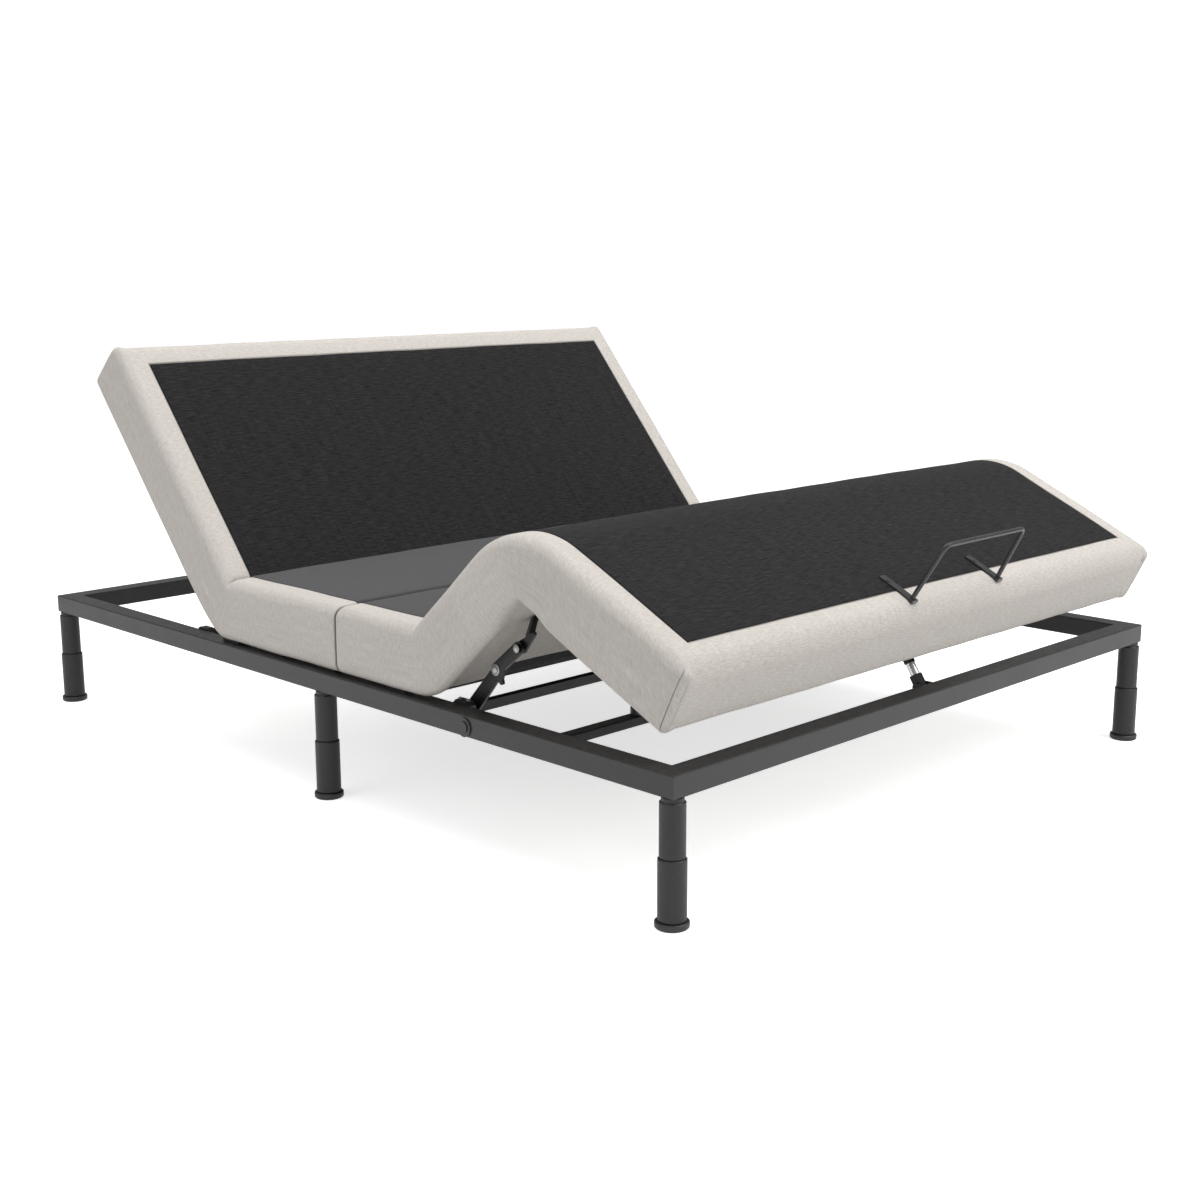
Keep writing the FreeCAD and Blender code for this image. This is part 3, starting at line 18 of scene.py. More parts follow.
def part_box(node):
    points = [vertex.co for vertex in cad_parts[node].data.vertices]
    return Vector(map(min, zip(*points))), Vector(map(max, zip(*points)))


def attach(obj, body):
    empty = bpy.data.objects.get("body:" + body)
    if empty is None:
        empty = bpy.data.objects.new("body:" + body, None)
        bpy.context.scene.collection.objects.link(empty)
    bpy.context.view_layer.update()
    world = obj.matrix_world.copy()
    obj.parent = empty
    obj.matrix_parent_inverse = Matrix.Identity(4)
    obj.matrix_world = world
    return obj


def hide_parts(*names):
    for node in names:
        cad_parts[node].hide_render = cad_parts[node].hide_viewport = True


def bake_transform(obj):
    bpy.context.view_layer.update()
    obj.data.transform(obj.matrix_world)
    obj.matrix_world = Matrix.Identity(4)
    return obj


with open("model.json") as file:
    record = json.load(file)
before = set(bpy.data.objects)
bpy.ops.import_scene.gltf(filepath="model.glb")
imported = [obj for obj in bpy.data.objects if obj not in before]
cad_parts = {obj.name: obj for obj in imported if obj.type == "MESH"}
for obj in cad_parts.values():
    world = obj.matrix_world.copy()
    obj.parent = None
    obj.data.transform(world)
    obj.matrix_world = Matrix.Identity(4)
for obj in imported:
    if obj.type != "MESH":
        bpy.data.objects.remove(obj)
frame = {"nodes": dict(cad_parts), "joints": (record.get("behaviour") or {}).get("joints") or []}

LOG = logging.getLogger("bed_base")
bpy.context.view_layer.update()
MM = 0.001
Colour = Tuple[float, float, float]
Array = np.ndarray


# ---- shader expressions --------------------------------------------------------------------------
class Value:
    """A shader socket that takes part in Python arithmetic; each operation adds one Math node."""

    def __init__(self, graph: "Graph", socket: bpy.types.NodeSocket) -> None:
        """Keep the graph that owns the socket.

        Args:
            graph: the material's node graph.
            socket: the output socket that this value stands for.
        """
        self.graph = graph
        self.socket = socket

    def _math(self, operation: str, first: "Term", second: "Term") -> "Value":
        """Add a Math node.

        Args:
            operation: the node's operation.
            first: first operand.
            second: second operand.

        Returns:
            The node's result.
        """
        return self.graph.node("ShaderNodeMath", {"operation": operation}, {0: first, 1: second})

    def __add__(self, other: "Term") -> "Value":
        """Sum."""
        return self._math("ADD", self, other)

    __radd__ = __add__

    def __sub__(self, other: "Term") -> "Value":
        """Difference."""
        return self._math("SUBTRACT", self, other)

    def __rsub__(self, other: "Term") -> "Value":
        """Reflected difference."""
        return self._math("SUBTRACT", other, self)

    def __mul__(self, other: "Term") -> "Value":
        """Product."""
        return self._math("MULTIPLY", self, other)

    __rmul__ = __mul__

    def __truediv__(self, other: "Term") -> "Value":
        """Quotient."""
        return self._math("DIVIDE", self, other)

    def __pow__(self, other: "Term") -> "Value":
        """Power."""
        return self._math("POWER", self, other)


Term = Union[Value, float, Sequence[float]]


class Graph:
    """Node graph of one material."""

    def __init__(self, name: str) -> None:
        """Start a material with a Principled shader.

        Args:
            name: the material's name.
        """
        self.material = bpy.data.materials.new(name)
        self.material.use_nodes = True
        self.tree = self.material.node_tree
        self.shader = self.tree.nodes["Principled BSDF"]

    def node(self, kind: str, settings: Dict[str, object], inputs: Dict[Union[int, str], Term],
             output: Union[int, str] = 0) -> Value:
        """Add any node, set it up and give one of its outputs.

        Args:
            kind: the node's type.
            settings: node properties, set before the inputs; "stops" fills a colour ramp.
            inputs: value or link for each socket, by name or number.
            output: the output to return.

        Returns:
            The chosen output as a value.
        """
        made = self.tree.nodes.new(kind)
        for key, setting in settings.items():
            if key == "stops":
                self._fill_ramp(made, setting)
            else:
                setattr(made, key, setting)
        for key, term in inputs.items():
            self.feed(made.inputs[key], term)
        return Value(self, made.outputs[output])

    @staticmethod
    def _fill_ramp(made: bpy.types.Node, stops: Sequence[Tuple[float, Colour]]) -> None:
        """Give a colour ramp its stops.

        Args:
            made: the ramp node.
            stops: position and colour of each stop, two at least.
        """
        ramp = made.color_ramp
        while len(ramp.elements) < len(stops):
            ramp.elements.new(1.0)
        for element, (position, colour) in zip(ramp.elements, stops):
            element.position = position
            element.color = (*colour, 1.0)

    def feed(self, socket: bpy.types.NodeSocket, term: Term) -> None:
        """Link or set an input socket.

        Args:
            socket: the input.
            term: a value to link, or a number or colour to set.
        """
        if isinstance(term, Value):
            self.tree.links.new(term.socket, socket)
        elif isinstance(term, (int, float)):
            socket.default_value = term
        else:
            size = len(socket.default_value)
            socket.default_value = (*term, 1.0)[:size] if size > len(term) else tuple(term)

    def surface(self, **inputs: Term) -> None:
        """Feed the Principled shader; underscores in names stand for spaces.

        Args:
            inputs: value or link for each socket.
        """
        for key, term in inputs.items():
            self.feed(self.shader.inputs[key.replace("_", " ")], term)

    def place(self, uv: bool = False, scale: Sequence[float] = (1, 1, 1)) -> Value:
        """Texture coordinates through a Mapping node.

        Args:
            uv: whether the pattern follows the surface instead of the object's space.
            scale: pattern units per metre along each direction.

        Returns:
            The mapped vector.
        """
        source = self.node("ShaderNodeTexCoord", {}, {}, "UV" if uv else "Object")
        return self.node("ShaderNodeMapping", {}, {"Vector": source, "Scale": scale})

    def noise(self, where: Value, scale: float, detail: float = 2.0, roughness: float = 0.5) -> Value:
        """Noise texture from 0 to 1.

        Args:
            where: mapped coordinates.
            scale: cells per unit.
            detail: octaves.
            roughness: strength of the finer octaves.

        Returns:
            The noise factor.
        """
        return self.node("ShaderNodeTexNoise", {"noise_dimensions": "3D"},
                         {"Vector": where, "Scale": scale, "Detail": detail, "Roughness": roughness})

    def mix(self, factor: Term, first: Term, second: Term, blend: str = "MIX") -> Value:
        """Mix two colours.

        Args:
            factor: share of the second.
            first: first colour.
            second: second colour.
            blend: blending mode.

        Returns:
            The mixed colour.
        """
        return self.node("ShaderNodeMix", {"data_type": "RGBA", "blend_type": blend},
                         {0: factor, 6: first, 7: second}, 2)

    def span(self, factor: Value, low: float, high: float, to_low: float = 0.0,
             to_high: float = 1.0) -> Value:
        """Remap a range, clamped.

        Args:
            factor: value to remap.
            low: start of the input range.
            high: end of the input range.
            to_low: start of the output range.
            to_high: end of the output range.

        Returns:
            The remapped value.
        """
        return self.node("ShaderNodeMapRange", {"clamp": True},
                         {0: factor, 1: low, 2: high, 3: to_low, 4: to_high})

    def relief(self, height: Value, distance: float, strength: float = 1.0) -> Value:
        """Bump from a height.

        Args:
            height: height from 0 to 1.
            distance: metres that a height of 1 stands for.
            strength: share of the effect.

        Returns:
            The bumped normal.
        """
        return self.node("ShaderNodeBump", {}, {"Height": height, "Distance": distance, "Strength": strength})

    def attribute(self, name: str) -> Value:
        """Read a per-point attribute of the mesh as a number."""
        return self.node("ShaderNodeAttribute", {"attribute_name": name}, {}, "Fac")


def scaled(colour: Colour, share: float) -> Colour:
    """A colour made darker or lighter by a factor."""
    return tuple(share * part for part in colour)


# ---- finishes ------------------------------------------------------------------------------------
@dataclass(frozen=True)
class Cloth:
    """Woven cloth with slubs that run across the bed and down its sides."""

    name: str
    light: Colour
    dark: Colour
    slub_length: float
    slub_pitch: float
    thread_pitch: float
    sheen: float
    relief: float

    def material(self) -> bpy.types.Material:
        """Build the cloth's material.

        Returns:
            The material, which reads the piece's UV map in metres and its seam attribute, whose strength
            darkens the cloth as painted shade in seam grooves, the head crease and the gap where two covers
            meet.
        """
        graph = Graph(self.name)
        coarse_weave = graph.place(True, (1 / self.slub_length, 1 / self.slub_pitch, 1))
        fine_weave = graph.place(True, (1.9 / self.slub_length, 2.3 / self.slub_pitch, 1))
        thread_weave = graph.place(True, (1 / self.thread_pitch, 0.11 / self.slub_length, 1))
        slubs = graph.noise(coarse_weave, 1.0, 3.0, 0.62)
        fine = graph.noise(fine_weave, 1.0, 2.0, 0.6)
        warp = graph.noise(thread_weave, 1.0, 1.0, 0.5)
        weft = graph.node("ShaderNodeTexWave", {"wave_type": "BANDS", "bands_direction": "Y"},
                          {"Vector": graph.place(True), "Scale": 0.35 / self.thread_pitch, "Distortion": 1.2,
                           "Detail": 2.0, "Detail Scale": 2.0}, "Fac")
        blotch = graph.noise(graph.place(False, (1, 1, 1)), 3.5, 2.0, 0.5)
        tone = graph.span(slubs * 0.5 + fine * 0.32 + warp * 0.18, 0.39, 0.61)
        seam = graph.attribute("seam")
        colour = graph.mix(tone, self.dark, self.light)
        colour = graph.mix(graph.span(blotch, 0.3, 0.7, 0.0, 0.06), colour, self.dark)
        # Painted shade: the seam attribute darkens the cloth towards a fifth of its dark tone in seam
        # grooves, the head crease and the gap where two covers meet.
        colour = graph.mix(seam * 0.75, colour, scaled(self.dark, 0.2))
        height = slubs * 0.5 + fine * 0.25 + weft * 0.15 + warp * 0.25
        graph.surface(Base_Color=colour, Roughness=graph.span(tone, 0.0, 1.0, 0.93, 0.84),
                      Sheen_Weight=self.sheen, Sheen_Roughness=0.45, Specular_IOR_Level=0.18,
                      Normal=graph.relief(height, self.relief, 0.9))
        return graph.material


@dataclass(frozen=True)
class Coat:
    """Sprayed or powder coat on steel, slightly mottled, with a fine orange-peel surface."""

    name: str
    colour: Colour
    roughness: float
    grain: float
    relief: float
    specular: float = 0.34

    def material(self) -> bpy.types.Material:
        """Build the coat's material on object coordinates.

        Returns:
            The material.
        """
        graph = Graph(self.name)
        place = graph.place()
        cloud = graph.noise(place, 9.0, 4.0, 0.6)
        peel = graph.noise(place, self.grain, 2.0, 0.5)
        scuff = graph.noise(graph.place(False, (60, 60, 400)), 1.0, 3.0, 0.6)
        shade = graph.mix(graph.span(cloud * 0.6 + peel * 0.4, 0.35, 0.65), scaled(self.colour, 0.82),
                          scaled(self.colour, 1.18))
        rough = graph.span(scuff * 0.5 + cloud * 0.5, 0.35, 0.65, self.roughness - 0.07,
                           self.roughness + 0.07)
        graph.surface(Base_Color=shade, Roughness=rough, Specular_IOR_Level=self.specular,
                      Normal=graph.relief(peel, self.relief, 0.6))
        return graph.material


@dataclass(frozen=True)
class Plate:
    """Zinc plate or polished steel with fine turned or drawn lines."""

    name: str
    colour: Colour
    roughness: float
    lines: Tuple[float, float, float]

    def material(self) -> bpy.types.Material:
        """Build the plated metal's material.

        Returns:
            The material.
        """
        graph = Graph(self.name)
        cloud = graph.noise(graph.place(), 60.0, 3.0, 0.6)
        lines = graph.noise(graph.place(False, self.lines), 1.0, 2.0, 0.6)
        shade = graph.mix(graph.span(cloud, 0.3, 0.7), scaled(self.colour, 0.78), self.colour)
        rough = graph.span(lines * 0.6 + cloud * 0.4, 0.3, 0.7, self.roughness - 0.08, self.roughness + 0.1)
        graph.surface(Base_Color=shade, Roughness=rough, Metallic=1.0,
                      Normal=graph.relief(lines, 0.00008, 0.5))
        return graph.material


@dataclass(frozen=True)
class Moulding:
    """Moulded plastic with a fine spark texture."""

    name: str
    colour: Colour
    roughness: float

    def material(self) -> bpy.types.Material:
        """Build the plastic's material.

        Returns:
            The material.
        """
        graph = Graph(self.name)
        spark = graph.noise(graph.place(), 900.0, 2.0, 0.6)
        cloud = graph.noise(graph.place(), 14.0, 3.0, 0.55)
        shade = graph.mix(graph.span(cloud, 0.35, 0.65), self.colour, scaled(self.colour, 1.35))
        graph.surface(Base_Color=shade, Roughness=graph.span(cloud, 0.3, 0.7, self.roughness - 0.06,
                                                             self.roughness + 0.06),
                      Normal=graph.relief(spark, 0.00015, 0.6))
        return graph.material


@dataclass(frozen=True)
class Timber:
    """Plain plywood with grain along the bed."""

    name: str
    light: Colour
    dark: Colour

    def material(self) -> bpy.types.Material:
        """Build the plywood's material.

        Returns:
            The material.
        """
        graph = Graph(self.name)
        grain = graph.noise(graph.place(False, (38, 2.2, 38)), 1.0, 5.0, 0.65)
        pores = graph.noise(graph.place(False, (420, 18, 420)), 1.0, 2.0, 0.6)
        tone = graph.span(grain * 0.75 + pores * 0.25, 0.32, 0.66)
        graph.surface(Base_Color=graph.mix(tone, self.dark, self.light),
                      Roughness=graph.span(pores, 0.3, 0.7, 0.62, 0.78),
                      Normal=graph.relief(grain * 0.6 + pores * 0.4, 0.0002, 0.7))
        return graph.material


class Finish(Enum):
    """The finishes of this bed base."""

    LINEN = Cloth("linen_cover", (0.695, 0.658, 0.617), (0.51, 0.474, 0.434),
                  0.015, 0.0022, 0.0014, 0.10, 0.0018)
    CHARCOAL = Cloth("charcoal_cloth", (0.031, 0.0285, 0.030), (0.0028, 0.0025, 0.0026),
                     0.032, 0.0024, 0.0013, 0.05, 0.0022)
    # Seat cloth: a smoother cloth, made lighter than the charcoal to paint the sheen and overhead light that
    # the level seat catches.
    SEAT_AND_SHEEN = Cloth("seat_cloth", (0.056, 0.055, 0.058), (0.041, 0.040, 0.043),
                 0.02, 0.0025, 0.0012, 0.22, 0.0006)
    FRAME = Coat("frame_paint", (0.029, 0.029, 0.029), 0.40, 260.0, 0.00035)
    # Beam paint: a near-black copy of the frame's coat, painted shade for the cross beams in the deck's
    # shadow.
    SHADED_BEAM = Coat("beam_paint", (0.006, 0.006, 0.0062), 0.45, 260.0, 0.00035, specular=0.2)
    LEG = Coat("leg_paint", (0.027, 0.0272, 0.0278), 0.50, 420.0, 0.0003)
    MECHANISM = Coat("mechanism_paint", (0.009, 0.009, 0.0095), 0.36, 320.0, 0.0002, specular=0.25)
    RETAINER = Coat("retainer_paint", (0.035, 0.036, 0.038), 0.28, 300.0, 0.0001)
    ZINC = Plate("zinc", (0.40, 0.40, 0.395), 0.44, (300, 300, 300))
    SLEEVE = Plate("bright_sleeve", (0.72, 0.72, 0.72), 0.22, (40, 900, 900))
    PLASTIC = Moulding("black_plastic", (0.016, 0.016, 0.016), 0.5)
    PLYWOOD = Timber("plywood", (0.60, 0.44, 0.28), (0.40, 0.27, 0.15))

    def material(self) -> bpy.types.Material:
        """The finish's material, built once."""
        found = bpy.data.materials.get(self.value.name + "_look")
        if found is None:
            found = self.value.material()
            found.name = self.value.name + "_look"
        return found


def dress(node: str, finish: Finish) -> None:
    """Give a carried-over CAD node its finish.

    Args:
        node: the node's name.
        finish: its finish.
    """
    piece = frame["nodes"][node]
    piece.data.materials.clear()
    piece.data.materials.append(finish.material())
    LOG.info("dressed %s in %s", node, finish.value.name)


# ---- plane geometry ------------------------------------------------------------------------------
def direction(degrees: float) -> Array:
    """Unit (y, z) vector at an angle from +Y towards +Z."""
    angle = math.radians(degrees)
    return np.array([math.cos(angle), math.sin(angle)])


@dataclass
class Track:
    """Smooth (y, z) path held as closely spaced points and read by length."""

    points: Array
    lengths: Array = field(init=False)

    def __post_init__(self) -> None:
        """Measure the path: the running sum of the distances between points."""
        steps = np.linalg.norm(np.diff(self.points, axis=0), axis=1)
        self.lengths = np.concatenate([[0.0], np.cumsum(steps)])

    @property
    def total(self) -> float:
        """Whole length."""
        return float(self.lengths[-1])

    def at(self, where: Array) -> Array:
        """Points at the given lengths, straight between neighbours.

        Args:
            where: lengths from the start.

        Returns:
            Array of (y, z) rows.
        """
        return np.stack([np.interp(where, self.lengths, self.points[:, axis]) for axis in range(2)], axis=-1)

    def crossing(self, point: Array, normal: Array) -> float:
        """Length at which the path crosses a line.

        Args:
            point: a point of the line.
            normal: the line's normal.

        Returns:
            The length from the start.
        """
        side = (self.points - point) @ normal
        return float(np.interp(0.0, side, self.lengths))


def straight(start: Array, end: Array, count: int = 40) -> Array:
    """Points on a straight run: start + t (end - start)."""
    share = np.linspace(0.0, 1.0, count)[:, None]
    return start + share * (end - start)


def round_arc(centre: Array, radius: float, start: float, end: float, count: int = 60) -> Array:
    """Points on an arc: centre + radius (cos a, sin a), with a from start to end in degrees."""
    angle = np.radians(np.linspace(start, end, count))
    return centre + radius * np.stack([np.cos(angle), np.sin(angle)], axis=-1)


def soft_corner(start: Array, corner: Array, end: Array, count: int = 80) -> Array:
    """Points on the parabola that leaves start towards corner and reaches end from corner.

    The point at t is (1 - t)^2 start + 2 t (1 - t) corner + t^2 end.
    """
    share = np.linspace(0.0, 1.0, count)[:, None]
    return (1 - share) ** 2 * start + 2 * share * (1 - share) * corner + share ** 2 * end


# ---- the deck's plan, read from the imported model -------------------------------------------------
@dataclass(frozen=True)
class Hinge:
    """One deck hinge in the raised rest pose: its place, its bend and the headings before and after it."""

    pivot: Array
    bend: float
    before: float
    after: float

    @property
    def heading(self) -> Array:
        """Direction through the hinge, midway between the two sections, which is the bend plane's normal."""
        return direction((self.before + self.after) / 2)


@dataclass(frozen=True)
class DeckPlan:
    """Sizes of the deck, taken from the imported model's nodes and joints."""

    half_width: float
    bottom: float
    top: float
    seam_y: float
    head: Hinge
    thigh: Hinge
    knee: Hinge
    head_length: float
    thigh_length: float
    foot_length: float
    border: float = 60 * MM

    @property
    def thickness(self) -> float:
        """Thickness of the deck."""
        return self.top - self.bottom

    @classmethod
    def read(cls) -> "DeckPlan":
        """Read the plan from the frame.

        Returns:
            The plan, with each section's length measured from its hinge.
        """
        joints = {joint["name"]: joint for joint in frame["joints"]}
        hinges = ("head_tilt", "thigh_tilt", "knee_bend")
        places = {name: np.array(joints[name]["pos_m"][1:]) for name in hinges}
        travel = {name: max(abs(limit) for limit in joints[name]["range_deg"]) for name in places}
        head_angle = travel["head_tilt"]
        thigh_angle = travel["thigh_tilt"]
        knee_angle = round(travel["knee_bend"], 1)
        low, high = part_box("seat_head_cushion")
        foot_heading = 180 - thigh_angle + knee_angle
        head = Hinge(places["head_tilt"], head_angle, 0.0, head_angle)
        thigh = Hinge(places["thigh_tilt"], thigh_angle, 180.0, 180 - thigh_angle)
        knee = Hinge(places["knee_bend"], knee_angle, 180 - thigh_angle, foot_heading)
        return cls(half_width=high[0], bottom=low[2], top=high[2], seam_y=low[1], head=head,
                   thigh=thigh, knee=knee,
                   head_length=reach("head_cushion", head.pivot, head.after),
                   thigh_length=float(np.linalg.norm((knee.pivot - thigh.pivot) @ direction(thigh.after))),
                   foot_length=reach("foot_cushion", knee.pivot, knee.after))


def reach(node: str, origin: Array, heading: float) -> float:
    """Furthest that a node's points lie from an origin along a heading in the side view.

    Args:
        node: the CAD node.
        origin: (y, z) of the start.
        heading: angle in degrees from +Y towards +Z.

    Returns:
        The distance in metres.
    """
    mesh = frame["nodes"][node].data
    points = np.empty(len(mesh.vertices) * 3)
    mesh.vertices.foreach_get("co", points)
    side = points.reshape(-1, 3)[:, 1:]
    return float(((side - origin) @ direction(heading)).max())


# ---- upholstered covers --------------------------------------------------------------------------
@dataclass(frozen=True)
class Padding:
    """Rounding and crown of the padded deck."""

    top_edge: float = 25 * MM
    bottom_edge: float = 16 * MM
    crown: float = 3 * MM
    bulge: float = 3 * MM
    under_sag: float = 0.9 * MM
    lip: float = 8 * MM
    head_lip: float = 6 * MM
    end_lip: float = 4 * MM
    lip_width: float = 42 * MM
    # How far in from the sides and how high up the thigh bend the dark underside reaches; the rise up the
    # bend is painted shade.
    dust_and_shade_inset: float = 160 * MM
    painted_shade_rise: float = 37 * MM
    hinge_sag: float = 9 * MM
    hinge_reach: float = 60 * MM
    seam_depth: float = 1.3 * MM
    seam_half: float = 1.8 * MM
    crease_depth: float = 6 * MM
    crease_half: float = 5.5 * MM
    ripple: float = 0.8 * MM
    rim: float = 60 * MM
    head_ramp: float = 120 * MM
    knee_ramp: float = 80 * MM
    start_ramp: float = 30 * MM
    far_ramp: float = 45 * MM

    def groove(self) -> Array:
        """Offsets of the mesh lines across a sewn seam, closer together towards its middle."""
        return self.seam_half * np.array([-2.2, -1.1, -0.5, 0.0, 0.5, 1.1, 2.2])

    def below(self, height: Array) -> Array:
        """Share of a drop at each height: 1 at the underside, fading straight to 0 at the rim's height."""
        return (1 - np.clip(height / self.rim, 0, 1))[None, :]


def smooth(share: Array) -> Array:
    """Smoothstep 3 t^2 - 2 t^3 of a share clipped to 0..1."""
    t = np.clip(share, 0, 1)
    return t * t * (3 - 2 * t)


@dataclass(frozen=True)
class Rounding:
    """Radii at the closed end of a cover, over the top, down the sides and underneath."""

    top: float
    side: float
    bottom: float
    corner_seam: bool = False
    # Whether the end meets another cover, whose gap the cloth darkens as painted shade.
    joint: bool = False


class Outline:
    """Closed cross-section of the deck, as arrays that run from the top's middle round to it again.

    Each point has a place across the bed (x), a height above the underside (h), an outward normal and the
    length round the section from the middle of the top.
    """

    TOP_STEPS = 26
    EDGE_STEPS = 9
    SIDE_STEPS = 9

    def __init__(self, plan: DeckPlan, padding: Padding) -> None:
        """Work out the half section and mirror it.

        Args:
            plan: the deck's sizes.
            padding: its rounding.
        """
        panel = plan.half_width - plan.border
        groove = padding.groove()
        flat_end = plan.half_width - padding.top_edge
        across = np.concatenate([np.linspace(0, panel + groove[0], self.TOP_STEPS, endpoint=False),
                                 panel + groove,
                                 np.linspace(panel + groove[-1], flat_end, 5)[1:]])
        angle = np.radians(np.linspace(90, 0, self.EDGE_STEPS + 1))[1:]
        height = plan.thickness
        top_x = flat_end + padding.top_edge * np.cos(angle)
        top_h = height - padding.top_edge + padding.top_edge * np.sin(angle)
        side_h = np.linspace(height - padding.top_edge, padding.bottom_edge, self.SIDE_STEPS + 1)[1:]
        low_end = plan.half_width - padding.bottom_edge
        low_angle = np.append(angle[::-1][1:], np.pi / 2)
        low_x = low_end + padding.bottom_edge * np.cos(low_angle)
        low_h = padding.bottom_edge - padding.bottom_edge * np.sin(low_angle)
        under = across[::-1] * low_end / flat_end
        x = np.concatenate([across, top_x, np.full(len(side_h), plan.half_width), low_x, under[1:]])
        h = np.concatenate([np.full(len(across), height), top_h, side_h, low_h, np.zeros(len(under) - 1)])
        lean_x = np.concatenate([np.zeros(len(across)), np.cos(angle), np.ones(len(side_h)),
                                 np.cos(low_angle), np.zeros(len(under) - 1)])
        lean_h = np.concatenate([np.ones(len(across)), np.sin(angle), np.zeros(len(side_h)),
                                 -np.sin(low_angle), -np.ones(len(under) - 1)])
        length = np.concatenate([[0.0], np.cumsum(np.hypot(np.diff(x), np.diff(h)))])
        self.x = np.concatenate([x, -x[-2:0:-1]])
        self.h = np.concatenate([h, h[-2:0:-1]])
        self.lean_x = np.concatenate([lean_x, -lean_x[-2:0:-1]])
        self.lean_h = np.concatenate([lean_h, lean_h[-2:0:-1]])
        self.around = np.concatenate([length, -length[-2:0:-1]])
        self.panel = panel

    def __len__(self) -> int:
        """Number of points round the section."""
        return len(self.x)


@dataclass
class Rings:
    """Closed rings that make a cover: places, lengths along and the seam's strength, which also sets the
    cloth's painted shade, one row a ring.
    """

    x: Array
    side: Array
    around: Array
    along: Array
    seam: Array
    panel: Array

    @staticmethod
    def joined(parts: Sequence["Rings"]) -> "Rings":
        """Stack several sets of rings."""
        return Rings(*(np.concatenate([getattr(part, name) for part in parts]) for name in
                       ("x", "side", "around", "along", "seam", "panel")))


